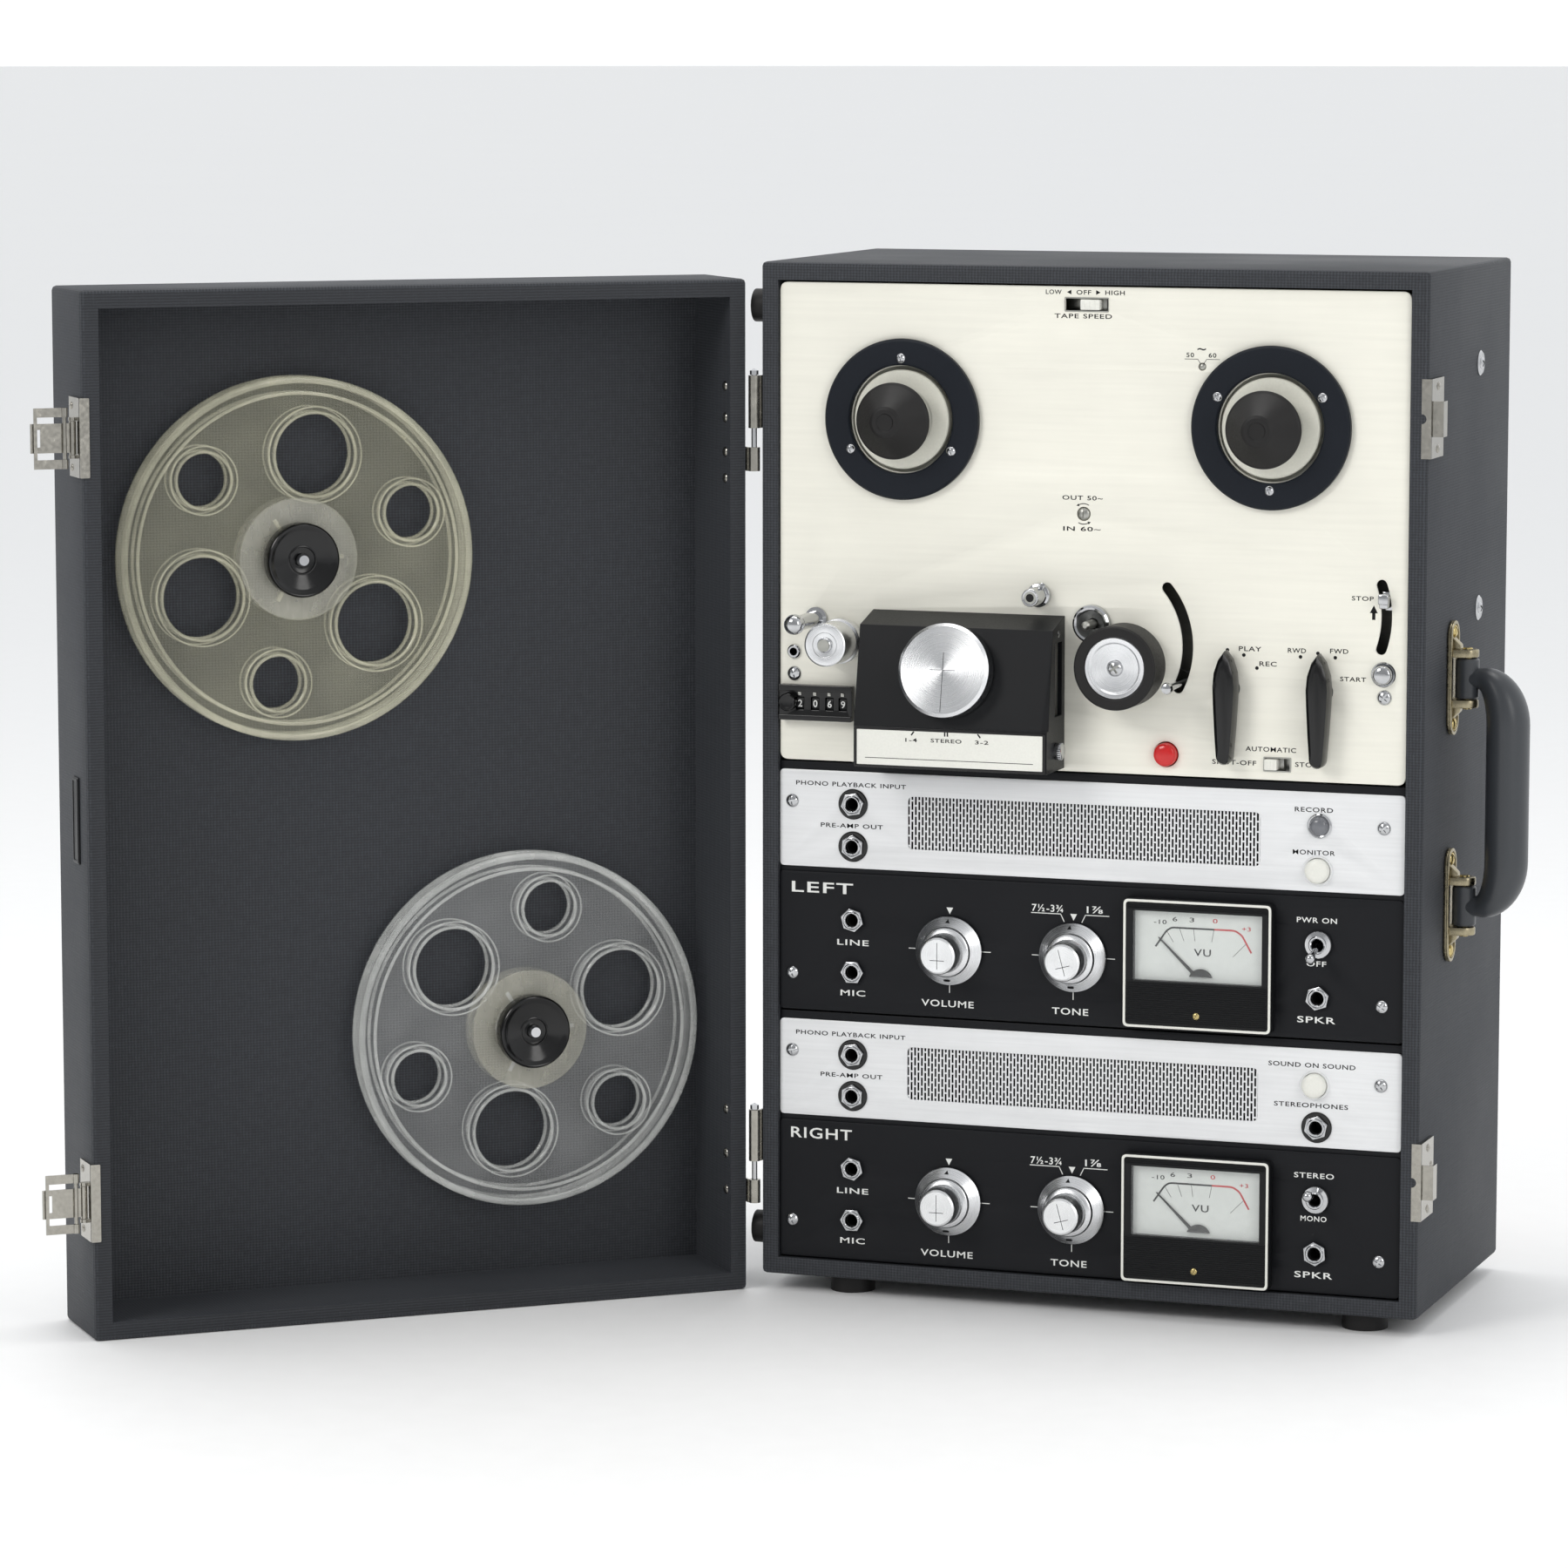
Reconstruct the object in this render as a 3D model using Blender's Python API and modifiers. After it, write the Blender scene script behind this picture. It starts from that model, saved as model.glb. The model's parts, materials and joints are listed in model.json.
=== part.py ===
"""Portable reel-to-reel tape deck: upright cabinet, front controls and a hinged carrying lid.

All sizes are in metres.  Positions are given in the deck frame: X runs right along the front,
Y runs from the front edge into the cabinet, Z runs up from the cabinet's underside.
The lid is drawn shut, in front of the cabinet, and one empty on the hinge axis swings it open.
"""
import math

import bmesh
import bpy
from mathutils import Vector

# ---- driving dimensions ----------------------------------------------------------------------
CASE_W = 0.337            # cabinet width
CASE_H = 0.507            # cabinet height without feet
CASE_D = 0.173            # cabinet depth
WALL = 0.0088             # plywood wall with its vinyl
CASE_ROUND = 0.0022       # rounding of the outer edges
FOOT_H = 0.0085           # height of the rubber feet, and the drop of the lifted-off lid
GAP = 0.0003              # clearance between neighbouring pieces

LID_D = 0.0565            # depth of the lid
LID_FACE = 0.0060         # thickness of the lid's large face
RIM_GAP = 0.0006          # gap between lid rim and cabinet rim when shut
LID_OPEN = math.radians(139.3)
HINGE_X = -0.0036         # hinge axis, just outside the left wall on the seam
HINGE_R = 0.0029          # hinge barrel
PIN_R = 0.0014

PANEL_Y = 0.0020          # front of every panel, set back from the cabinet's edge
PANEL_T = 0.0015
DECK_Z = (0.2605, 0.4975)
AMP_Z = ((0.1350, 0.2558), (0.0096, 0.1303))
STRIP_H = 0.0484          # silver strip at the top of each amplifier panel
CHASSIS_Y = 0.0300
CHASSIS_T = 0.0020
BACK_Y = CASE_D - 0.0065  # inner face of the hardboard back
BACK_T = 0.0035
FEET = [(x, y) for y in (0.018, CASE_D - 0.018) for x in (0.0425, 0.307)]
SIDE_FEET = [(y, z) for y in (0.012, CASE_D - 0.018) for z in (0.4850, 0.0215)]

REEL_Z = 0.4310
REEL_X = (0.0733, 0.2598)
TABLE_R = 0.0243
TABLE_HOLE = TABLE_R + 0.0017
REEL_RING = (TABLE_R + 0.0022, 0.0395)   # inner and outer radius of the black trim ring
CONE_R = 0.0188           # rubber cone pushed over each spindle
REEL_SEAT = 0.0155        # foot of that cone, which is the top of a reel on the table
STORED_REEL_R = 0.0890    # 7-inch tape reel
STORED = {"upper": (0.2210, 0.3730), "lower": (0.1035, 0.1335)}
REEL_TURN = {"upper": math.radians(100.0), "lower": math.radians(40.0)}
REEL_HOLES = ((0.0514, 0.0200), (0.0615, 0.0133))   # distance from the hub and radius
CAP_H = 0.0088
REEL_FOOT = -LID_D + LID_FACE + 0.0046   # lid side of a stored reel
CAP_FOOT = REEL_FOOT + 0.0128

CAPSTAN = (0.1705, 0.3335)
MOTOR = (0.2450, 0.3335)
FLYWHEEL_R = 0.0400
PULLEY_R = 0.0075
ROLLER = (0.1890, 0.3148)
ROLLER_R = 0.0205
PINCH_PIVOT = (0.1615, 0.2825)
TENSION_PIVOT = (0.1741, 0.3236)
TENSION_R = 0.0446
TENSION_REST = math.radians(-23.5)
TENSION_TOP = math.radians(40.0)  # upper end of the tension pin's curved slot
GUIDE = (0.0423, 0.3212)
GUIDE_R = 0.0112
# x, z, radius and height of each fixed tape post
POSTS = ((0.1439, 0.3468, 0.0042, 0.0170), (0.0285, 0.3315, 0.0036, 0.0330))
STOP_PIVOT = (0.2685, 0.3415)
STOP_R = 0.0488
STOP_REST = math.radians(8.8)
STOP_END = math.radians(18.5)   # half angle of the stop tab's curved slot

COVER_X = (0.0580, 0.1568)
COVER_Z = (0.2622, 0.3370)
COVER_STEP = 0.2830       # height where the name-plate box meets the head cover
COVER_OUT = (0.0295, 0.0200)   # how far the cover stands out at its foot and at its top
COVER_TILT = math.atan2(COVER_OUT[0] - COVER_OUT[1], 0.0480)
SELECTOR = (0.1054, 0.3100)
SELECTOR_R = 0.0230

LEVERS = {"play_lever": 0.2398, "transport_lever": 0.2861}
LEVER_Z = 0.3046
LEVER_SHAFT = 0.0045
BUTTON_GAP = 0.0005
BUTTONS = {               # x, z, radius and how far each stands out
    "record_button": (0.2083, 0.2711, 0.0057, 0.0042),
    "start_button": (0.3161, 0.3139, 0.0047, 0.0050),
    "monitor_button": (0.2849, 0.2176, 0.0060, 0.0045),
    "sound_button": (0.2845, 0.1124, 0.0060, 0.0045),
}
SPEED_SLOT = (0.1560, 0.1774, 0.4854, 0.4916)     # left, right, low and high edge
SHUTOFF_SLOT = (0.2576, 0.2706, 0.2652, 0.2716)
COUNTER = ((0.0103, 0.0485), (0.2809, 0.2985))
COUNTER_RESET = (0.0156, 0.2900)
KNOB_X = {"volume_knob": 0.0982, "tone_knob": 0.1620}
KNOB_Z = {"left": 0.1690, "right": 0.0430}
KNOB_R = 0.0171
METER_X = (0.1892, 0.2643)
METER_Z = {"left": (0.1370, 0.2008), "right": (0.0105, 0.0743)}
JACK_X = 0.0477
JACK_ROWS = ((0.2395, 0.2183, 0.1816, 0.1554), (0.1137, 0.0928, 0.0561, 0.0300))
RIGHT_X = 0.2857
RIGHT_JACKS = ((0.1554,), (0.0918, 0.0295))
JACK_BORE = 0.0032
JACK_R = 0.0056
RECORD_LAMP = (0.2854, 0.2395)
METER_RIM = 0.0052        # rim between a meter's side and its window
METER_SILL = 0.0235       # height of the window above the meter's foot
NEEDLE_PIVOT = (0.0350, 0.0275)   # from the meter's lower left corner
NEEDLE_REST = math.radians(-46.0)
TOGGLE_LEAN = math.radians(16.0)

HINGES = {"upper": 0.4510, "lower": 0.0832}      # top end of each cabinet barrel
BARREL_TOP = 0.0260
BARREL_LOW = 0.0118
PIN_SHOWN = 0.0095
LATCH_Z = {"upper": 0.4370, "lower": 0.0680}
LATCH_H = 0.0380
LATCH_AXLE = (CASE_W + 0.0032, -0.0060)
LEVER_REACH = 0.0205            # lever's tip, from its axle
LOOP_AXLE = (0.0043, 0.0017)    # loop's axle on the lever, from the lever's own axle
LOOP_REACH = 0.0150             # outer edge of the loop's cross bar, from its axle
HOOK_HALF = 0.0085              # half width of the strike's hook
HANDLE_Y = 0.0520
HANDLE_OUT = 0.0085       # pivot's distance from the side wall
HANDLE_REACH = 0.0212     # grip's middle, from the pivot axis
GRIP_R = 0.0105           # half the grip's thickness
GRIP_WIDER = 1.14         # the grip is this much wider than it is thick
HANDLE_Z = {"upper": 0.3082, "lower": 0.1967}
HANDLE_BARREL = 0.0058
HANDLE_BEND = 0.0225      # height of the grip's curve at each end
HANDLE_NECK = 0.0062      # where that curve leaves the barrel
BRACKET = (0.0560, 0.0085)   # length and end radius of the oval plate
LUG = (0.0103, 0.0143)    # near and far side of each lug, from the bracket's middle

BOX_CENTRE = (0.0401, -0.0293)   # middle of the whole object in the deck frame
ARC_STEPS = 32
FRONT = (math.pi / 2, 0.0, 0.0)    # local +Z points out of the deck, towards -Y
BACK = (-math.pi / 2, 0.0, 0.0)    # local +Z points into the deck, towards +Y
UP = (0.0, 0.0, 0.0)

for old in list(bpy.data.objects):
    bpy.data.objects.remove(old, do_unlink=True)

PARTS = bpy.data.collections.new("tape_deck")
CUTTERS = bpy.data.collections.new("cutters")
bpy.context.scene.collection.children.link(PARTS)
bpy.context.scene.collection.children.link(CUTTERS)


# ---- materials -------------------------------------------------------------------------------
def material(name, colour, roughness, metallic=0.0):
    made = bpy.data.materials.new(name)
    made.use_nodes = True
    shader = made.node_tree.nodes["Principled BSDF"]
    shader.inputs["Base Color"].default_value = (*colour, 1.0)
    shader.inputs["Roughness"].default_value = roughness
    shader.inputs["Metallic"].default_value = metallic
    return made


VINYL = material("vinyl", (0.045, 0.050, 0.058), 0.75)
CREAM = material("cream_panel", (0.86, 0.84, 0.76), 0.45)
BLACK = material("black_plastic", (0.012, 0.013, 0.015), 0.35)
RUBBER = material("rubber", (0.015, 0.015, 0.016), 0.70)
CHROME = material("chrome", (0.75, 0.75, 0.76), 0.12, 1.0)
ALUMINIUM = material("aluminium", (0.78, 0.79, 0.80), 0.28, 1.0)
STEEL = material("steel", (0.50, 0.50, 0.48), 0.40, 1.0)
NICKEL = material("nickel", (0.52, 0.48, 0.38), 0.35, 1.0)
RED = material("red_plastic", (0.62, 0.02, 0.02), 0.30)
WHITE = material("white_plastic", (0.85, 0.85, 0.83), 0.40)
CLEAR = material("clear_plastic", (0.80, 0.82, 0.80), 0.10)
BOARD = material("hardboard", (0.16, 0.10, 0.06), 0.80)


# ---- frames ----------------------------------------------------------------------------------
def empty(name, at, turn=(0.0, 0.0, 0.0), parent=None):
    made = bpy.data.objects.new(name, None)
    made.location = at
    made.rotation_euler = turn
    made.parent = parent
    PARTS.objects.link(made)
    return made


DECK = empty("deck_frame", (-BOX_CENTRE[0], -BOX_CENTRE[1], FOOT_H))
LID = empty("lid_frame", (HINGE_X, 0.0, -FOOT_H), (0.0, 0.0, -LID_OPEN), DECK)


# ---- building blocks -------------------------------------------------------------------------
def add(name, mesh, at, turn, paint, parent, cutter=False):
    """Link a mesh as an object.  `at` is in the deck frame, or in the shut lid for lid pieces."""
    made = bpy.data.objects.new(name, mesh)
    offset = Vector((HINGE_X, 0.0, 0.0)) if parent is LID else Vector((0.0, 0.0, 0.0))
    made.location = Vector(at) - offset
    made.rotation_euler = turn
    made.parent = parent
    if cutter:
        CUTTERS.objects.link(made)
        made.hide_render = True
        made.display_type = "WIRE"
    else:
        PARTS.objects.link(made)
        mesh.materials.append(paint)
    return made


def finish_mesh(bm, name, smooth=False):
    bmesh.ops.recalc_face_normals(bm, faces=bm.faces)
    mesh = bpy.data.meshes.new(name)
    bm.to_mesh(mesh)
    bm.free()
    if smooth:
        mesh.shade_smooth()
        mesh.set_sharp_from_angle(angle=math.radians(35))
    return mesh


def soften(obj, width, segments=1):
    bevel = obj.modifiers.new("edge", "BEVEL")
    bevel.width = width
    bevel.segments = segments
    bevel.limit_method = "ANGLE"
    return obj


def box(name, low, high, paint=None, parent=None, at=None, round_edge=0.0, cutter=False):
    """Block between two corners; its origin is `at`, or the middle of the block."""
    low, high = Vector(low), Vector(high)
    origin = Vector(at) if at else (low + high) / 2
    bm = bmesh.new()
    bmesh.ops.create_cube(bm, size=1.0)
    bmesh.ops.scale(bm, vec=high - low, verts=bm.verts)
    bmesh.ops.translate(bm, vec=(low + high) / 2 - origin, verts=bm.verts)
    obj = add(name, finish_mesh(bm, name), origin, UP, paint, parent or DECK, cutter)
    if round_edge:
        soften(obj, round_edge)
    return obj


def rod(name, at, turn, radius, low, high, paint=None, parent=None, steps=ARC_STEPS,
        cutter=False):
    """Cylinder on the object's local Z axis, from `low` to `high` along it."""
    bm = bmesh.new()
    bmesh.ops.create_cone(bm, cap_ends=True, segments=steps, radius1=radius, radius2=radius,
                          depth=high - low)
    bmesh.ops.translate(bm, vec=(0.0, 0.0, (low + high) / 2), verts=bm.verts)
    return add(name, finish_mesh(bm, name, True), at, turn, paint, parent or DECK, cutter)


def turned(name, at, turn, profile, paint=None, parent=None, steps=ARC_STEPS, cutter=False):
    """Solid of revolution about local Z; the profile runs from its top to its foot."""
    bm = bmesh.new()
    closed = profile[0] == profile[-1]
    corners = profile[:-1] if closed else profile
    points = [bm.verts.new((radius, 0.0, height)) for radius, height in corners]
    if closed:
        points.append(points[0])
    for first, second in zip(points, points[1:]):
        bm.edges.new((first, second))
    mesh = bpy.data.meshes.new(name)
    bm.to_mesh(mesh)
    bm.free()
    obj = add(name, mesh, at, turn, paint, parent or DECK, cutter)
    screw = obj.modifiers.new("turn", "SCREW")
    screw.steps = steps
    screw.render_steps = steps
    screw.use_merge_vertices = True
    screw.merge_threshold = 0.00002
    screw.use_smooth_shade = True
    return obj


def ring_profile(bore, outer, low, high):
    """Closed rectangular profile of a ring, running down its outer side."""
    return [(bore, high), (outer, high), (outer, low), (bore, low), (bore, high)]


def curve_solid(curve):
    """Closed bmesh of a curve, its caps welded."""
    drawn = bpy.data.objects.new(curve.name + "_curve", curve)
    CUTTERS.objects.link(drawn)
    bpy.context.view_layer.update()
    view = bpy.context.evaluated_depsgraph_get()
    solid = bpy.data.meshes.new_from_object(drawn.evaluated_get(view))
    bpy.data.objects.remove(drawn, do_unlink=True)
    bm = bmesh.new()
    bm.from_mesh(solid)
    bmesh.ops.remove_doubles(bm, verts=bm.verts, dist=0.00001)
    return bm


def plate(name, outline, at, turn, thickness, paint=None, parent=None, cutter=False):
    """Flat piece: a closed outline in local XY, extruded from local z = 0 to `thickness`."""
    curve = bpy.data.curves.new(name, "CURVE")
    curve.dimensions = "2D"
    curve.fill_mode = "BOTH"
    curve.extrude = thickness / 2
    spline = curve.splines.new("POLY")
    spline.points.add(len(outline) - 1)
    for point, (x, y) in zip(spline.points, outline):
        point.co = (x, y, 0.0, 1.0)
    spline.use_cyclic_u = True
    bm = curve_solid(curve)
    bmesh.ops.translate(bm, vec=(0.0, 0.0, thickness / 2), verts=bm.verts)
    return add(name, finish_mesh(bm, name, True), at, turn, paint, parent or DECK, cutter)


def boolean(target, tool, operation):
    step = target.modifiers.new(tool.name, "BOOLEAN")
    step.operation = operation
    step.object = tool
    step.solver = "EXACT"
    return target


def cut(target, tool):
    return boolean(target, tool, "DIFFERENCE")


def join(target, tool):
    return boolean(target, tool, "UNION")


def arc(centre_x, centre_y, radius, start, end, steps):
    """Points on an arc, both ends included."""
    turn = [start + (end - start) * i / steps for i in range(steps + 1)]
    return [(centre_x + radius * math.cos(a), centre_y + radius * math.sin(a)) for a in turn]


def hole(target, x, z, radius, depth=0.02, steps=20):
    """Round hole through a front panel."""
    tool = rod(f"{target.name}_hole", (x, PANEL_Y, z), FRONT, radius, -depth, depth,
               steps=steps, cutter=True)
    return cut(target, tool)


def window(target, low_x, high_x, low_z, high_z, low_y=-0.01, high_y=0.02):
    """Rectangular opening through a front panel."""
    tool = box(f"{target.name}_window", (low_x, low_y, low_z), (high_x, high_y, high_z),
               cutter=True)
    return cut(target, tool)


# ---- cabinet ---------------------------------------------------------------------------------
def cabinet():
    shell = box("cabinet_shell", (0, 0, 0), (CASE_W, CASE_D, CASE_H), VINYL)
    soften(shell, CASE_ROUND, 2)
    cut(shell, box("case_inside", (WALL, -0.02, WALL),
                   (CASE_W - WALL, CASE_D + 0.02, CASE_H - WALL), cutter=True))
    for i, (x, y) in enumerate(FEET):
        join(shell, rod(f"foot_{i}", (x, y, 0), UP, 0.0112, -FOOT_H, 0.001, steps=24,
                        cutter=True))
    for i, (y, z) in enumerate(SIDE_FEET):
        join(shell, rod(f"side_foot_{i}", (0, y, z), (0, -math.pi / 2, 0), 0.0082, -0.001,
                        0.0068, steps=20, cutter=True))


def back_panel():
    """Hardboard back with two rows of vents and the mains inlet's block."""
    back = box("back_panel", (WALL + GAP, BACK_Y, WALL + GAP),
               (CASE_W - WALL - GAP, BACK_Y + BACK_T, CASE_H - WALL - GAP), BOARD)
    for row in range(2):
        for column in range(6):
            x = 0.070 + 0.036 * column
            z = 0.380 + 0.050 * row
            cut(back, box(f"vent_{row}_{column}", (x, BACK_Y - 0.01, z),
                          (x + 0.018, BACK_Y + 0.02, z + 0.005), cutter=True))
    join(back, box("inlet_block", (0.250, BACK_Y + 0.003, 0.040),
                   (0.282, CASE_D - 0.0005, 0.062), cutter=True))


# ---- front panels ----------------------------------------------------------------------------
def deck_panel():
    """Cream deck plate with every opening, and the black trim rings round the reels."""
    low, high = DECK_Z
    deck = box("deck_panel", (WALL + GAP, PANEL_Y, low),
               (CASE_W - WALL - GAP, PANEL_Y + PANEL_T, high), CREAM)
    for x in REEL_X:
        hole(deck, x, REEL_Z, TABLE_HOLE, steps=28)
        ring = turned(f"reel_ring_{x:.2f}", (x, PANEL_Y + 0.0005, REEL_Z), FRONT,
                      ring_profile(*REEL_RING, 0.0, 0.0035), steps=28, cutter=True)
        join(deck, ring)
    holes = [(*CAPSTAN, 0.0075), (*GUIDE, 0.0050)]
    holes += [(x, LEVER_Z, LEVER_SHAFT + 0.0007) for x in LEVERS.values()]
    holes += [(x, z, radius + BUTTON_GAP) for x, z, radius, _ in BUTTONS.values() if z > low]
    for x, z, radius in holes:
        hole(deck, x, z, radius)
    for x, z, radius, _ in POSTS:
        hole(deck, x, z, radius + 0.0004, steps=12)
    window(deck, *SPEED_SLOT)
    window(deck, *SHUTOFF_SLOT)
    window(deck, 0.0700, 0.1450, 0.2920, 0.3260)
    window(deck, 0.1810, 0.1980, 0.3070, 0.3270)
    for name, (x, z), radius, half, low_end, top_end in [
            ("tension", TENSION_PIVOT, TENSION_R, 0.0027, TENSION_REST - 0.09, TENSION_TOP),
            ("stop", STOP_PIVOT, STOP_R, 0.0030, -STOP_END, STOP_END)]:
        slot = arc(0, 0, radius + half, low_end, top_end, 10)
        slot += arc(0, 0, radius - half, top_end, low_end, 10)
        cut(deck, plate(f"{name}_slot", slot, (x, PANEL_Y + 0.01, z), FRONT, 0.02, cutter=True))


def amp_panel(name, zone, jacks, right_jacks, side):
    """One channel's panel: silver strip over a black face, with its jack bushes."""
    low, high = zone
    edge = (WALL + GAP, CASE_W - WALL - GAP)
    base = box(name, (edge[0], PANEL_Y + 0.0010, low),
               (edge[1], PANEL_Y + 0.0025, high + 0.0040), BLACK)
    join(base, box(f"{name}_strip", (edge[0] + 0.0001, PANEL_Y, high - STRIP_H),
                   (edge[1] - 0.0001, PANEL_Y + 0.0015, high), cutter=True))
    join(base, box(f"{name}_face", (edge[0] + 0.0001, PANEL_Y, low + 0.0001),
                   (edge[1] - 0.0001, PANEL_Y + 0.0015, high - STRIP_H - 0.0030), cutter=True))
    places = [(JACK_X, z) for z in jacks] + [(RIGHT_X, z) for z in right_jacks]
    for number, (x, z) in enumerate(places):
        join(base, rod(f"{name}_bush_{number}", (x, PANEL_Y, z), FRONT, JACK_R, -0.0120, 0.0030,
                       steps=12, cutter=True))
        hole(base, x, z, JACK_BORE, 0.02, 10)
    for x in KNOB_X.values():
        hole(base, x, KNOB_Z[side], 0.0036, steps=12)
    meter_low, meter_high = METER_Z[side]
    window(base, METER_X[0] + 0.010, METER_X[1] - 0.010, meter_low + 0.012, meter_high - 0.006)
    hole(base, RIGHT_X, jacks[2], 0.0058, steps=16)
    for x, z, radius, _ in BUTTONS.values():
        if low < z < high:
            hole(base, x, z, radius + BUTTON_GAP, steps=16)
    x, z = RECORD_LAMP
    if low < z < high:
        join(base, turned(f"{name}_lens", (x, PANEL_Y + 0.0005, z), FRONT,
                          [(0, 0.0035), (0.0030, 0.0032), (0.0050, 0.0018), (0.0052, 0), (0, 0)],
                          steps=16, cutter=True))


# ---- tape transport --------------------------------------------------------------------------
def chassis():
    """Steel plate behind the deck with its standoffs, axles and the two tape posts."""
    frame = box("transport_chassis", (0.0120, CHASSIS_Y, 0.2640),
                (0.3250, CHASSIS_Y + CHASSIS_T, 0.4950), STEEL)
    corners = [(x, z) for z in (0.270, 0.489) for x in (0.018, 0.319)]
    for i, (x, z) in enumerate(corners):
        join(frame, box(f"standoff_{i}", (x - 0.004, PANEL_Y + PANEL_T + GAP, z - 0.004),
                        (x + 0.004, CHASSIS_Y + 0.001, z + 0.004), cutter=True))
    for x, z, radius, reach in POSTS:
        post = rod(f"post_{x:.3f}", (x, PANEL_Y, z), FRONT, radius, -0.0287, reach, steps=18,
                   cutter=True)
        join(frame, post)
    tip = POSTS[1]
    join(frame, turned("post_ball", (tip[0], PANEL_Y - tip[3], tip[1]), FRONT,
                       [(0, 0.0046), (0.0030, 0.0036), (0.0046, 0.0010), (0.0048, -0.0010),
                        (0.0040, -0.0030), (0, -0.0034)], steps=17, cutter=True))
    join(frame, rod("guide_axle", (GUIDE[0], PANEL_Y, GUIDE[1]), FRONT, 0.0030, -0.0291, 0.0300,
                    steps=16, cutter=True))
    join(frame, rod("tension_axle", (TENSION_PIVOT[0], PANEL_Y, TENSION_PIVOT[1]), FRONT, 0.0022,
                    -0.029, -0.0150, steps=16, cutter=True))
    join(frame, rod("pinch_axle", (PINCH_PIVOT[0], PANEL_Y, PINCH_PIVOT[1]), FRONT, 0.0025,
                    -0.029, -0.0040, steps=16, cutter=True))
    for x in (MOTOR[0] - 0.030, MOTOR[0] + 0.030):
        join(frame, rod(f"motor_post_{x:.2f}", (x, CHASSIS_Y, MOTOR[1]), BACK, 0.0035, 0.001,
                        0.0250, steps=12, cutter=True))
    for x, z, radius in [*((x, REEL_Z, 0.0046) for x in REEL_X), (*CAPSTAN, 0.0030)]:
        hole(frame, x, z, radius, 0.05, 16)


def motor():
    """Outer-rotor motor can with a bore for its pulley's shaft."""
    x, z = MOTOR
    can = turned("drive_motor", (x, CHASSIS_Y, z), BACK,
                 [(0, 0.0860), (0.0360, 0.0860), (0.0400, 0.0820), (0.0400, 0.0300),
                  (0.0360, 0.0254), (0.0, 0.0254)], STEEL, steps=28)
    cut(can, rod("motor_bore", (x, CHASSIS_Y, z), BACK, 0.0028, 0.0, 0.0450, steps=16,
                 cutter=True))


def motor_pulley():
    x, z = MOTOR
    turned("motor_pulley", (x, CHASSIS_Y, z), BACK,
           [(0, 0.0400), (0.0025, 0.0400), (0.0025, 0.0180), (PULLEY_R, 0.0180),
            (PULLEY_R - 0.0008, 0.0130), (PULLEY_R, 0.0080), (0, 0.0080)], ALUMINIUM, steps=24)


def flywheel():
    """Capstan shaft and its flywheel, one turned piece."""
    x, z = CAPSTAN
    profile = [(0, 0.0125), (0.0010, 0.0125), (0.0022, 0.0115), (0.0022, -0.0345),
               (0.0060, -0.0345), (0.0060, -0.0380), (FLYWHEEL_R - 0.0100, -0.0400),
               (FLYWHEEL_R, -0.0380), (FLYWHEEL_R, -0.0500), (0, -0.0500)]
    turned("capstan_flywheel", (x, PANEL_Y, z), FRONT, profile, STEEL, steps=24)


def reel_table(side, x):
    """Driven disc and spindle, with the rubber cone that holds a reel down, all in one."""
    profile = [(0, 0.0290), (0.0062, 0.0290), (0.0076, 0.0278), (0.0182, REEL_SEAT + 0.0018),
               (CONE_R, REEL_SEAT + 0.0008), (CONE_R, REEL_SEAT), (0.0062, REEL_SEAT),
               (0.0062, 0.0030), (TABLE_R, 0.0030), (TABLE_R, -0.0030), (0.0120, -0.0040),
               (0.0120, -0.0070), (0.0330, -0.0070), (0.0330, -0.0150), (0.0042, -0.0150),
               (0.0042, -0.0360), (0, -0.0360)]
    turned(f"reel_table_{side}", (x, PANEL_Y, REEL_Z), FRONT, profile, CREAM, steps=28)


def cover_outline(inset):
    """Side view of the head cover: x is height above its foot, y is how far it stands out."""
    height = COVER_Z[1] - COVER_Z[0]
    step = COVER_STEP - COVER_Z[0]
    return [(inset, -inset * 2), (inset, COVER_OUT[0] - inset), (step, COVER_OUT[0] - inset),
            (height - 0.0055 - inset / 2, COVER_OUT[1] - inset / 2), (height - inset, -inset * 2)]


def head_cover():
    """Black head cover over the name-plate box, hollow, open to the deck and on its right."""
    at = (COVER_X[0], PANEL_Y - GAP, COVER_Z[0])
    profile = [(height, out) for height, out in cover_outline(0.0)]
    cover = prism("head_cover", profile, at, COVER_X[1] - COVER_X[0], BLACK)
    inner = prism("cover_inside", cover_outline(0.0022), (COVER_X[0] + 0.0022, at[1], at[2]),
                  COVER_X[1] - COVER_X[0] - 0.0044, cutter=True)
    cut(cover, inner)
    wedge = box("cover_chamfer", (0, -0.030, -0.060), (0.030, 0.030, 0.060), at=(0, 0, 0),
                cutter=True)
    wedge.location = (COVER_X[1] + 0.0004, PANEL_Y - 0.0200, COVER_STEP + 0.0600)
    wedge.rotation_euler = (0.0, math.radians(-4.0), math.radians(-42.0))
    cut(cover, wedge)
    for side, x in zip(("left", "right"), COVER_X):
        cut(cover, box(f"tape_slot_{side}", (x - 0.009, PANEL_Y - 0.0160, COVER_STEP + 0.0060),
                       (x + 0.009, PANEL_Y - 0.0050, COVER_STEP + 0.0420), cutter=True))
    y, z = selector_foot()
    cut(cover, rod("selector_hole", (SELECTOR[0], y, z), (math.pi / 2 - COVER_TILT, 0, 0),
                   0.0036, -0.006, 0.006, steps=16, cutter=True))


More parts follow.
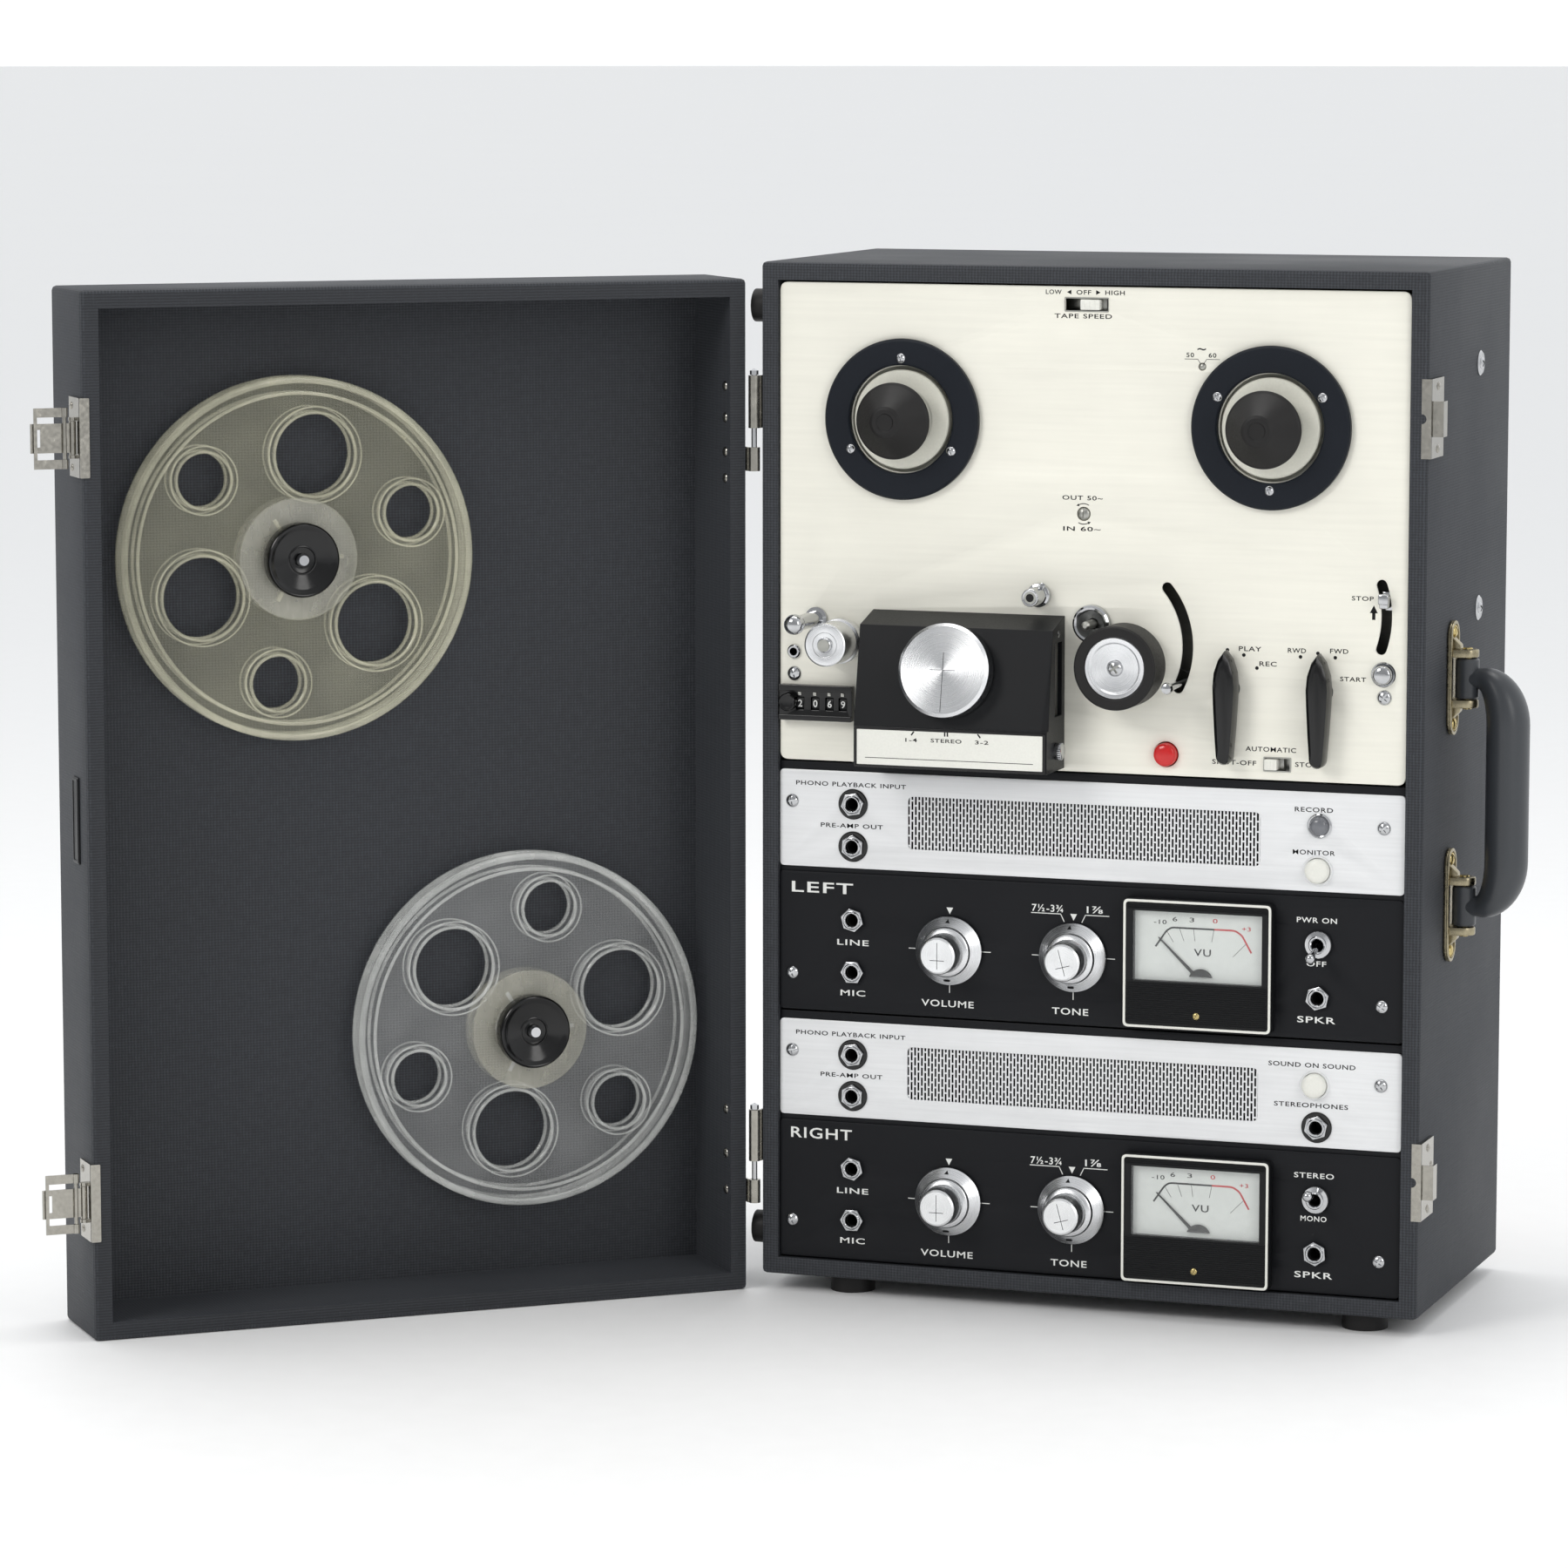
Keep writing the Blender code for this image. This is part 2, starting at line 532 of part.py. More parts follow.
def prism(name, outline, at, width, paint=None, cutter=False):
    """Extrude a side outline (height, distance out of the deck) along X by `width`."""
    bm = bmesh.new()
    corners = [bm.verts.new((0.0, -out, height)) for height, out in outline]
    face = bm.faces.new(corners)
    grown = bmesh.ops.extrude_face_region(bm, geom=[face])
    moved = [item for item in grown["geom"] if isinstance(item, bmesh.types.BMVert)]
    bmesh.ops.translate(bm, vec=(width, 0.0, 0.0), verts=moved)
    return add(name, finish_mesh(bm, name), at, UP, paint, DECK, cutter)


def selector_foot():
    """Depth and height of the selector knob's seat on the cover's leaning face."""
    up = SELECTOR[1] - COVER_STEP
    return PANEL_Y - GAP - COVER_OUT[0] + up * math.tan(COVER_TILT), SELECTOR[1]


def selector_knob():
    y, z = selector_foot()
    turned("selector_knob", (SELECTOR[0], y, z), (math.pi / 2 - COVER_TILT, 0, 0),
           [(0, 0.0108), (SELECTOR_R - 0.0012, 0.0108), (SELECTOR_R, 0.0096),
            (SELECTOR_R, 0.0012), (0.0060, 0.0012), (0.0032, 0.0006), (0.0032, -0.0060),
            (0, -0.0060)], ALUMINIUM, steps=32)


def head_block():
    """Head mounting plate with erase, record and playback heads, under the cover."""
    block = box("head_block", (0.0720, PANEL_Y - 0.0020, 0.2940),
                (0.1430, PANEL_Y + 0.0030, 0.3240), ALUMINIUM)
    for number, x in enumerate((0.0780, 0.1010, 0.1260)):
        join(block, box(f"head_{number}", (x, PANEL_Y - 0.0160, 0.2990),
                        (x + 0.0120, PANEL_Y - 0.001, 0.3120), cutter=True))


def guide_roller():
    turned("guide_roller", (GUIDE[0], PANEL_Y, GUIDE[1]), FRONT,
           ring_profile(0.0033, GUIDE_R, 0.0030, 0.0280), ALUMINIUM, steps=28)


def counter():
    """Tape counter: its case, and the knurled knob that sets it back to nought."""
    (left, right), (low, high) = COUNTER
    case = box("counter_case", (left, PANEL_Y - 0.0055, low), (right, PANEL_Y - GAP, high),
               BLACK, round_edge=0.0008)
    seat = (COUNTER_RESET[0], PANEL_Y, COUNTER_RESET[1])
    cut(case, rod("reset_hole", seat, FRONT, 0.0048, 0.0012, 0.0100, steps=18, cutter=True))
    rod("counter_reset", seat, FRONT, 0.0044, 0.0036, 0.0086, BLACK, steps=18)


def pinch_arm():
    """Arm behind the panel with the roller's axle standing out through its opening."""
    px, pz = PINCH_PIVOT
    reach = Vector((ROLLER[0] - px, ROLLER[1] - pz))
    lean = math.atan2(reach.y, reach.x)
    outline = arc(0, 0, 0.0055, math.pi / 2, 3 * math.pi / 2, 8)
    outline += arc(reach.length, 0, 0.0055, -math.pi / 2, math.pi / 2, 8)
    arm = plate("pinch_arm", outline, (px, PANEL_Y + 0.0075, pz), FRONT, 0.0025, STEEL)
    arm.rotation_euler = (math.pi / 2, -lean, 0.0)
    cut(arm, rod("pinch_bore", (px, PANEL_Y, pz), FRONT, 0.0028, -0.02, 0.02, steps=16,
                 cutter=True))
    join(arm, rod("roller_axle", (ROLLER[0], PANEL_Y, ROLLER[1]), FRONT, 0.0028, -0.0065, 0.0240,
                  steps=16, cutter=True))


def pinch_roller():
    turned("pinch_roller", (ROLLER[0], PANEL_Y, ROLLER[1]), FRONT,
           [(0.0030, 0.0232), (0.0150, 0.0232), (0.0155, 0.0250), (ROLLER_R - 0.0008, 0.0250),
            (ROLLER_R, 0.0242), (ROLLER_R, 0.0060), (ROLLER_R - 0.0020, 0.0052),
            (0.0030, 0.0052), (0.0030, 0.0232)], RUBBER, steps=28)


def tension_arm():
    """Sprung arm behind the deck; its pin stands out through the curved slot."""
    px, pz = TENSION_PIVOT
    outline = arc(0, 0, 0.0045, math.pi / 2, 3 * math.pi / 2, 8)
    outline += arc(TENSION_R, 0, 0.0032, -math.pi / 2, math.pi / 2, 8)
    arm = plate("tension_arm", outline, (px, PANEL_Y + 0.0190, pz), FRONT, 0.0025, CHROME)
    arm.rotation_euler = (math.pi / 2, -TENSION_REST, 0.0)
    cut(arm, rod("tension_bore", (px, PANEL_Y, pz), FRONT, 0.0025, -0.03, 0.02, steps=16,
                 cutter=True))
    tip = (px + TENSION_R * math.cos(TENSION_REST), pz + TENSION_R * math.sin(TENSION_REST))
    join(arm, rod("tension_pin", (tip[0], PANEL_Y, tip[1]), FRONT, 0.0018, -0.0180, 0.0225,
                  steps=12, cutter=True))
    join(arm, turned("tension_ball", (tip[0], PANEL_Y - 0.0225, tip[1]), FRONT,
                     [(0, 0.0030), (0.0024, 0.0018), (0.0030, 0), (0.0024, -0.0018),
                      (0, -0.0030)], steps=12, cutter=True))


# ---- controls --------------------------------------------------------------------------------
def lever(name, x):
    """Black drop-shaped lever: pointed top, tapering to a round foot, on a shaft."""
    half = 0.0058
    outline = arc(0.0, -0.0327, 0.0036, math.pi + 0.10, 2 * math.pi - 0.10, 6)
    outline += [(half * 0.93, -0.0080), (half, 0.0010), (half * 0.90, 0.0085),
                (half * 0.52, 0.0150), (0.0, 0.0190), (-half * 0.52, 0.0150),
                (-half * 0.90, 0.0085), (-half, 0.0010), (-half * 0.93, -0.0080)]
    body = plate(name, outline, (x, PANEL_Y - 0.0030, LEVER_Z), FRONT, 0.0105, BLACK)
    soften(body, 0.0012)
    join(body, rod(f"{name}_shaft", (x, PANEL_Y, LEVER_Z), FRONT, LEVER_SHAFT, -0.0180, 0.0060,
                   steps=16, cutter=True))


def slide_button(name, low, high, out, paint):
    """Rectangular button in a slot, with a wider foot behind the panel."""
    (low_x, low_z), (high_x, high_z) = low, high
    middle = ((low_x + high_x) / 2, PANEL_Y, (low_z + high_z) / 2)
    body = box(name, (low_x, PANEL_Y - out, low_z), (high_x, PANEL_Y + 0.0060, high_z), paint,
               at=middle)
    soften(body, 0.0006)
    join(body, box(f"{name}_foot", (low_x - 0.002, PANEL_Y + 0.0040, low_z - 0.0012),
                   (high_x + 0.002, PANEL_Y + 0.0075, high_z + 0.0012), cutter=True))


def stop_tab():
    """Stop lever's tip: a small block which swings in its curved slot about STOP_PIVOT."""
    x = STOP_PIVOT[0] + STOP_R * math.cos(STOP_REST)
    z = STOP_PIVOT[1] + STOP_R * math.sin(STOP_REST)
    slide_button("stop_tab", (x - 0.0024, z - 0.0032), (x + 0.0024, z + 0.0032), 0.0060, CHROME)


def push_button(name, x, z, radius, out, paint):
    """Round sprung button: cap with a broken edge on a thinner stem."""
    turned(name, (x, PANEL_Y, z), FRONT,
           [(0, out), (radius - 0.0012, out), (radius, out - 0.0010), (radius, -0.0060),
            (0.0020, -0.0060), (0.0020, -0.0160), (0, -0.0160)], paint, steps=20)


def rotary_knob(name, x, z):
    """Spun skirt, cone and raised grip of a volume or tone knob."""
    turned(name, (x, PANEL_Y, z), FRONT,
           [(0, 0.0205), (0.0084, 0.0205), (0.0092, 0.0198), (0.0096, 0.0090),
            (0.0118, 0.0072), (0.0125, 0.0060), (KNOB_R, 0.0022), (KNOB_R, 0.0008),
            (0.0032, 0.0006), (0.0032, -0.0120), (0, -0.0120)], ALUMINIUM, steps=24)


def vu_meter(side):
    """Meter housing with a window recess; the needle swings in the recess."""
    low, high = METER_Z[side]
    name = f"vu_meter_{side}"
    body = box(name, (METER_X[0], PANEL_Y - 0.0080, low), (METER_X[1], PANEL_Y - GAP, high),
               BLACK)
    soften(body, 0.0016)
    join(body, box(f"{name}_can", (METER_X[0] + 0.012, PANEL_Y - 0.002, low + 0.014),
                   (METER_X[1] - 0.012, PANEL_Y + 0.022, high - 0.008), cutter=True))
    cut(body, box(f"{name}_recess", (METER_X[0] + METER_RIM, PANEL_Y - 0.02, low + METER_SILL),
                  (METER_X[1] - METER_RIM, PANEL_Y - 0.0030, high - 0.0060), cutter=True))


def vu_needle(side):
    """Thin pointer on a small hub, low in the dial."""
    x = METER_X[0] + NEEDLE_PIVOT[0]
    z = METER_Z[side][0] + NEEDLE_PIVOT[1]
    name = f"vu_needle_{side}"
    outline = [(-0.0020, -0.0015), (0.0020, -0.0015), (0.0004, 0.0250), (-0.0004, 0.0250)]
    needle = plate(name, outline, (x, PANEL_Y - 0.0040, z), FRONT, 0.0004, BLACK)
    needle.rotation_euler = (math.pi / 2, NEEDLE_REST, 0.0)


def toggle(name, z, lean):
    """Toggle switch bat, wider at its tip, pivoting in the bushing."""
    bat = turned(name, (RIGHT_X, PANEL_Y, z), FRONT,
                 [(0, 0.0190), (0.0019, 0.0182), (0.0025, 0.0165), (0.0015, 0.0030),
                  (0.0015, -0.0060), (0, -0.0060)], CHROME, steps=16)
    bat.rotation_euler = (math.pi / 2 + lean, 0.0, 0.0)


def amplifier_chassis():
    """Folded tray behind the amplifier panels, with mains transformer and two speakers."""
    tray = box("amplifier_chassis", (0.0140, 0.0980, 0.0140), (0.3230, 0.1000, 0.2480), STEEL)
    join(tray, box("tray_floor", (0.0140, 0.0420, 0.0140), (0.3230, 0.0990, 0.0160), cutter=True))
    join(tray, box("transformer", (0.2300, 0.0400, 0.0150), (0.2950, 0.0990, 0.0750),
                   cutter=True))
    for low, high in AMP_Z:
        z = high - STRIP_H / 2
        speaker = turned(f"speaker_{z:.2f}", (0.1500, 0.0990, z), FRONT,
                         [(0, 0.0860), (0.0205, 0.0860), (0.0205, 0.0820), (0.0120, 0.0500),
                          (0.0180, 0.0490), (0.0180, 0.0300), (0.0050, 0.0290),
                          (0.0050, -0.0005), (0, -0.0005)], steps=24, cutter=True)
        join(tray, speaker)


# ---- handle, strikes and hinges --------------------------------------------------------------
def handle():
    """Moulded D handle with two pivot barrels on one vertical axis."""
    x = CASE_W + HANDLE_OUT
    top, low = HANDLE_Z["upper"], HANDLE_Z["lower"]
    half = (top - low) / 2
    curve = bpy.data.curves.new("handle_grip", "CURVE")
    curve.dimensions = "3D"
    curve.bevel_depth = GRIP_R
    curve.bevel_resolution = 3
    curve.use_fill_caps = True
    path = [(0.0020, half, 0.46)]
    for angle in [math.pi / 2 * i / 6 for i in range(7)]:
        out = HANDLE_NECK + (HANDLE_REACH - HANDLE_NECK) * math.sin(angle)
        up = half - HANDLE_BEND * (1 - math.cos(angle))
        path.append((out, up, 0.48 + 0.52 * math.sin(angle)))
    path += [(out, -up, thick) for out, up, thick in reversed(path)]
    spline = curve.splines.new("POLY")
    spline.points.add(len(path) - 1)
    for point, (out, up, thick) in zip(spline.points, path):
        point.co = (out, 0.0, up, 1.0)
        point.radius = thick
    bm = curve_solid(curve)
    bmesh.ops.scale(bm, vec=(1.0, GRIP_WIDER, 1.0), verts=bm.verts)
    grip = add("handle", finish_mesh(bm, "handle", True), (x, HANDLE_Y, (top + low) / 2), UP,
               BLACK, DECK)
    for name, z in HANDLE_Z.items():
        join(grip, rod(f"handle_barrel_{name}", (x, HANDLE_Y, z), UP, HANDLE_BARREL, -0.0098,
                       0.0098, steps=20, cutter=True))
        cut(grip, rod(f"handle_bore_{name}", (x, HANDLE_Y, z), UP, 0.0025, -0.0110, 0.0110,
                      steps=16, cutter=True))


def handle_bracket(place, z):
    """Oval plate on the side wall with two lugs and the pin that carries the handle."""
    face = (0.0, math.pi / 2, 0.0)
    end_r = BRACKET[1]
    middle = BRACKET[0] / 2 - end_r
    outline = arc(-middle, 0, end_r, math.pi / 2, 3 * math.pi / 2, 8)
    outline += arc(middle, 0, end_r, -math.pi / 2, math.pi / 2, 8)
    base = plate(f"handle_bracket_{place}", outline, (CASE_W + GAP, HANDLE_Y, z), face, 0.0018,
                 NICKEL)
    x = CASE_W + HANDLE_OUT
    for end in (-1, 1):
        near, far = sorted(z + end * side for side in LUG)
        join(base, rod(f"lug_{place}_{end}", (x, HANDLE_Y, (near + far) / 2), UP, 0.0056,
                       -0.0020, 0.0020, steps=16, cutter=True))
        join(base, box(f"lug_web_{place}_{end}", (CASE_W + 0.001, HANDLE_Y - 0.0056, near),
                       (x, HANDLE_Y + 0.0056, far), cutter=True))
    join(base, rod(f"lug_pin_{place}", (x, HANDLE_Y, z), UP, 0.0021, -0.0120, 0.0120, steps=16,
                   cutter=True))


def strike(place, z):
    """Catch plate on the cabinet's right side, with the hook that the latch loop grips."""
    half = LATCH_H / 2
    base = box(f"strike_{place}", (CASE_W + GAP, 0.0010, z - half),
               (CASE_W + 0.0014, 0.0250, z + half), STEEL)
    join(base, box(f"hook_stem_{place}", (CASE_W + 0.001, 0.0016, z - HOOK_HALF),
                   (CASE_W + 0.0070, 0.0028, z + HOOK_HALF), cutter=True))
    join(base, box(f"hook_lip_{place}", (CASE_W + 0.0058, 0.0016, z - HOOK_HALF),
                   (CASE_W + 0.0070, 0.0090, z + HOOK_HALF), cutter=True))


def hinge(place, top):
    """Lift-off hinge: cabinet leaf above, lid knuckle below, and the pin between them."""
    axis_x = HINGE_X
    low = top - BARREL_TOP
    leaf = box(f"hinge_leaf_{place}", (-0.0014, 0.0016, low), (-GAP, 0.0150, top), STEEL)
    barrel = rod(f"leaf_barrel_{place}", (axis_x, 0, low), UP, HINGE_R, 0, BARREL_TOP, steps=16,
                 cutter=True)
    join(leaf, box(f"leaf_neck_{place}", (axis_x, 0.0006, low), (-0.0004, 0.0022, top),
                   cutter=True))
    join(leaf, barrel)
    cut(leaf, rod(f"leaf_bore_{place}", (axis_x, 0, low), UP, PIN_R + 0.0002, -0.001,
                  BARREL_TOP + 0.001, steps=12, cutter=True))
    pin_foot = low - PIN_SHOWN - BARREL_LOW + 0.0010
    turned(f"hinge_pin_{place}", (axis_x, 0, pin_foot), UP,
           [(0, top + 0.0034 - pin_foot), (0.0022, top + 0.0024 - pin_foot),
            (0.0022, top + GAP - pin_foot), (PIN_R, top + GAP - pin_foot), (PIN_R, 0), (0, 0)],
           CHROME, steps=12)
    lid_top = low - PIN_SHOWN + FOOT_H
    knuckle = box(f"hinge_knuckle_{place}", (-0.0014, -0.0150, lid_top - BARREL_LOW),
                  (-GAP, -0.0016, lid_top), STEEL, LID)
    join(knuckle, lid_tool_box(f"knuckle_neck_{place}", (axis_x, -0.0022, lid_top - BARREL_LOW),
                               (-0.0004, -0.0006, lid_top)))
    join(knuckle, rod(f"knuckle_barrel_{place}", (axis_x, 0, lid_top - BARREL_LOW), UP, HINGE_R,
                      0, BARREL_LOW, parent=LID, steps=16, cutter=True))
    cut(knuckle, rod(f"knuckle_bore_{place}", (axis_x, 0, lid_top - BARREL_LOW), UP,
                     PIN_R + 0.0002, -0.001, BARREL_LOW + 0.001, parent=LID, steps=12,
                     cutter=True))


# ---- lid -------------------------------------------------------------------------------------
def lid_tool_box(name, low, high):
    return box(name, low, high, parent=LID, cutter=True)


def lid_shell():
    """Vinyl-covered tray with two reel posts and the riveted latch base plates."""
    shell = box("lid_shell", (0, -LID_D, 0), (CASE_W, -RIM_GAP, CASE_H), VINYL, LID)
    soften(shell, CASE_ROUND, 2)
    cut(shell, lid_tool_box("lid_inside", (WALL, -LID_D + LID_FACE, WALL),
                            (CASE_W - WALL, 0.01, CASE_H - WALL)))
    floor = -LID_D + LID_FACE
    for place, (x, z) in STORED.items():
        join(shell, turned(f"reel_post_{place}", (x, floor, z), BACK,
                           [(0, 0.0262), (0.0025, 0.0262), (0.0032, 0.0252), (0.0032, 0.0120),
                            (0.0140, 0.0040), (0.0140, -0.0010), (0, -0.0010)], parent=LID,
                           steps=20, cutter=True))
    for place, z in LATCH_Z.items():
        latch_base(shell, place, z)


def latch_base(shell, place, z):
    """Riveted plate on the lid's free side, with two ears and the lever's axle."""
    x, y = LATCH_AXLE
    half = LATCH_H / 2
    join(shell, lid_tool_box(f"latch_plate_{place}", (CASE_W - 0.0060, -0.0200, z - half),
                             (CASE_W + 0.0012, -0.0014, z + half)))
    for end in (-1, 1):
        near, far = sorted((z + end * 0.0082, z + end * 0.0098))
        join(shell, lid_tool_box(f"latch_ear_{place}_{end}", (CASE_W - 0.0030, y - 0.0019, near),
                                 (x + 0.0002, y + 0.0019, far)))
        join(shell, rod(f"latch_knee_{place}_{end}", (x, y, 0), UP, 0.0020, near, far,
                        parent=LID, steps=14, cutter=True))
    join(shell, rod(f"latch_axle_{place}", (x, y, z), UP, 0.0010, -0.0091, 0.0091, parent=LID,
                    steps=14, cutter=True))


def latch_lever(place, z):
    """Draw lever, swung out from the lid.  Its tip has a window and a rib holds the loop."""
    x, y = LATCH_AXLE
    axle = Vector((x, y, z))
    name = f"latch_lever_{place}"
    lever_plate = rod(name, axle, UP, 0.0017, -0.0079, 0.0079, STEEL, LID, 18)
    join(lever_plate, lid_tool_box(f"{name}_blade", axle + Vector((0.0011, -0.0006, -0.0070)),
                                   axle + Vector((LEVER_REACH, 0.0006, 0.0070))))
    join(lever_plate, lid_tool_box(f"{name}_rib",
                                   axle + Vector((LOOP_AXLE[0] - 0.0007, 0.0, -0.0068)),
                                   axle + Vector((LOOP_AXLE[0] + 0.0007, LOOP_AXLE[1], 0.0068))))
    join(lever_plate, rod(f"{name}_loop_axle", axle + Vector((*LOOP_AXLE, 0)), UP, 0.0010,
                          -0.0138, 0.0138, parent=LID, steps=12, cutter=True))
    cut(lever_plate, rod(f"{name}_bore", axle, UP, 0.0012, -0.01, 0.01, parent=LID, steps=12,
                         cutter=True))
    cut(lever_plate, lid_tool_box(f"{name}_window",
                                  axle + Vector((LEVER_REACH - 0.0048, -0.01, -0.0042)),
                                  axle + Vector((LEVER_REACH - 0.0017, 0.01, 0.0042))))


def latch_loop(place, z):
    """Flat loop with a barrel at each leg; its cross bar hooks over the strike."""
    axle = Vector((LATCH_AXLE[0] + LOOP_AXLE[0], LATCH_AXLE[1] + LOOP_AXLE[1], z))
    name = f"latch_loop_{place}"
    loop = box(name, axle + Vector((0.0006, -0.0005, -0.0145)),
               axle + Vector((LOOP_REACH, 0.0005, 0.0145)), STEEL, LID, at=axle)
    cut(loop, lid_tool_box(f"{name}_window", axle + Vector((-0.0030, -0.004, -0.0101)),
                           axle + Vector((LOOP_REACH - 0.0016, 0.004, 0.0101))))
    for end, (low, high) in enumerate([(-0.0145, -0.0101), (0.0101, 0.0145)]):
        join(loop, rod(f"{name}_barrel_{end}", axle, UP, 0.0016, low, high, parent=LID,
                       steps=14, cutter=True))
    cut(loop, rod(f"{name}_bore", axle, UP, 0.0012, -0.02, 0.02, parent=LID, steps=12,
                  cutter=True))


def stored_reel(place, x, z):
    """Seven-inch reel: two flanges with lightening holes round a hub, stored on its post."""
    name = f"storage_reel_{place}"
    reel = turned(name, (x, REEL_FOOT, z), BACK,
                  [(0.0040, 0.0125), (STORED_REEL_R, 0.0125), (STORED_REEL_R, 0.0105),
                   (0.0300, 0.0105), (0.0300, 0.0020), (STORED_REEL_R, 0.0020),
                   (STORED_REEL_R, 0.0), (0.0160, 0.0), (0.0160, 0.0050), (0.0040, 0.0095),
                   (0.0040, 0.0125)], CLEAR, LID, 36)
    for number in range(6):
        angle = REEL_TURN[place] + math.radians(60 * number)
        far, radius = REEL_HOLES[number % 2]
        centre = (x + far * math.cos(angle), REEL_FOOT, z + far * math.sin(angle))
        cut(reel, rod(f"{name}_hole_{number}", centre, BACK, radius, -0.01, 0.03, parent=LID,
                      steps=14, cutter=True))


def reel_cap(place, x, z):
    """Dished rubber cap pressed on the post's tip to hold the reel."""
    turned(f"reel_cap_{place}", (x, CAP_FOOT, z), BACK,
           [(0.0036, CAP_H - 0.0034), (0.0075, CAP_H - 0.0030), (0.0150, CAP_H - 0.0012),
            (0.0168, CAP_H), (0.0180, CAP_H - 0.0006), (0.0182, 0.0010), (0.0160, 0.0),
            (0.0036, 0.0), (0.0036, CAP_H - 0.0034)], RUBBER, LID, 24)


# ---- assembly --------------------------------------------------------------------------------
cabinet()
back_panel()
deck_panel()
amp_panel("amp_panel_upper", AMP_Z[0], JACK_ROWS[0], RIGHT_JACKS[0], "left")
amp_panel("amp_panel_lower", AMP_Z[1], JACK_ROWS[1], RIGHT_JACKS[1], "right")
chassis()
motor()
motor_pulley()
flywheel()
amplifier_chassis()
for side, x in zip(("left", "right"), REEL_X):
    reel_table(side, x)
head_cover()
head_block()
selector_knob()
guide_roller()
counter()
pinch_arm()
pinch_roller()
tension_arm()
for name, x in LEVERS.items():
    lever(name, x)
slide_button("speed_switch", (0.1640, 0.4860), (0.1738, 0.4910), 0.0022, WHITE)
slide_button("shutoff_switch", (0.2582, 0.2658), (0.2645, 0.2710), 0.0030, WHITE)
stop_tab()
for (name, placing), paint in zip(BUTTONS.items(), (RED, CHROME, WHITE, WHITE)):
    push_button(name, *placing, paint)
for kind, x in KNOB_X.items():
    for side, z in KNOB_Z.items():
        rotary_knob(f"{kind}_{side}", x, z)
for side in METER_Z:
    vu_meter(side)
    vu_needle(side)
toggle("power_toggle", JACK_ROWS[0][2], TOGGLE_LEAN)
toggle("mode_toggle", JACK_ROWS[1][2], -TOGGLE_LEAN)
handle()
for place, z in HANDLE_Z.items():
    handle_bracket(place, z)
for place, z in LATCH_Z.items():
    strike(place, z)
    latch_lever(place, z)
    latch_loop(place, z)
for place, top in HINGES.items():
    hinge(place, top)
lid_shell()
for place, (x, z) in STORED.items():
    stored_reel(place, x, z)
    reel_cap(place, x, z)
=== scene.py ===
import json
import math

import bmesh
import bpy
from mathutils import Matrix, Vector

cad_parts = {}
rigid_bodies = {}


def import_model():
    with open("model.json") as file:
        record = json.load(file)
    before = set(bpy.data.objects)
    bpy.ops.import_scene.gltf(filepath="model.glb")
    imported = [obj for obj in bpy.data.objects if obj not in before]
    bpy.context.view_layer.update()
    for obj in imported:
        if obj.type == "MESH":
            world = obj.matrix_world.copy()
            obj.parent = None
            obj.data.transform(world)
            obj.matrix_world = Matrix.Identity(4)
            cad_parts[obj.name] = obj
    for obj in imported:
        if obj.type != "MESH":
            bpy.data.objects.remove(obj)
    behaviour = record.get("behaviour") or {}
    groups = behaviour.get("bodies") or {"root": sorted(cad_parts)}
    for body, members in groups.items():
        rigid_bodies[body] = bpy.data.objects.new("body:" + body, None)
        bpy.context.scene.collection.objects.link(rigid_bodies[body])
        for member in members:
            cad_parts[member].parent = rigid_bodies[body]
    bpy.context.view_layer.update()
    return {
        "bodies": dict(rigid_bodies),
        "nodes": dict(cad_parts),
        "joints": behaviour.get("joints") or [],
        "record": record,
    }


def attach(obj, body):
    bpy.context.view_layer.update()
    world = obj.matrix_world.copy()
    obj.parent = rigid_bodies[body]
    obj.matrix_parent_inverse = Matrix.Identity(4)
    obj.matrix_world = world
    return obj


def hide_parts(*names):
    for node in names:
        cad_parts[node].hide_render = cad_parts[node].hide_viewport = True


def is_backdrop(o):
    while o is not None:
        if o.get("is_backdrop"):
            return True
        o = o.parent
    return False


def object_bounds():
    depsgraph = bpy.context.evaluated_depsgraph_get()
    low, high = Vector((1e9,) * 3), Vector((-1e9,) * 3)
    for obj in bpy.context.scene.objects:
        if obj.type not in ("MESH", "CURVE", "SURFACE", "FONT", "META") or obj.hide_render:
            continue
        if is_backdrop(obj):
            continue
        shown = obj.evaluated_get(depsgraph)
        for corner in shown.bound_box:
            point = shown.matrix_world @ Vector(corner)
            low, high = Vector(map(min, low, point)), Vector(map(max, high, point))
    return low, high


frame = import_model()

rad = math.radians

# ---- the CAD's own measures, in metres, in the deck frame ---------------------------------------
AT_X, AT_Y = -0.0401, 0.0293    # where the deck frame's origin lies in the world
CASE_W, CASE_D, WALL = 0.337, 0.173, 0.0088
LID_D, LID_FACE, LID_OPEN = 0.0565, 0.006, rad(139.3)
HINGE_X, PANEL_Y, FOOT_H = -0.0036, 0.002, 0.0085
REEL_Z, REEL_X, TABLE_R, CONE_R, REEL_SEAT = 0.431, (0.0733, 0.2598), 0.0243, 0.0188, 0.0155
STORED = {"upper": (0.221, 0.373), "lower": (0.1035, 0.1335)}
REEL_TURN = {"upper": rad(100.0), "lower": rad(40.0)}
REEL_HOLES = ((0.0514, 0.02), (0.0615, 0.0133))
CAPSTAN, MOTOR, ROLLER, GUIDE = (0.1705, 0.3335), (0.245, 0.3335), (0.189, 0.3148), (0.0423, 0.3212)
TENSION_PIVOT, TENSION_R, TENSION_LOW, TENSION_TOP = (0.1741, 0.3236), 0.0446, rad(-23.5), rad(40.0)
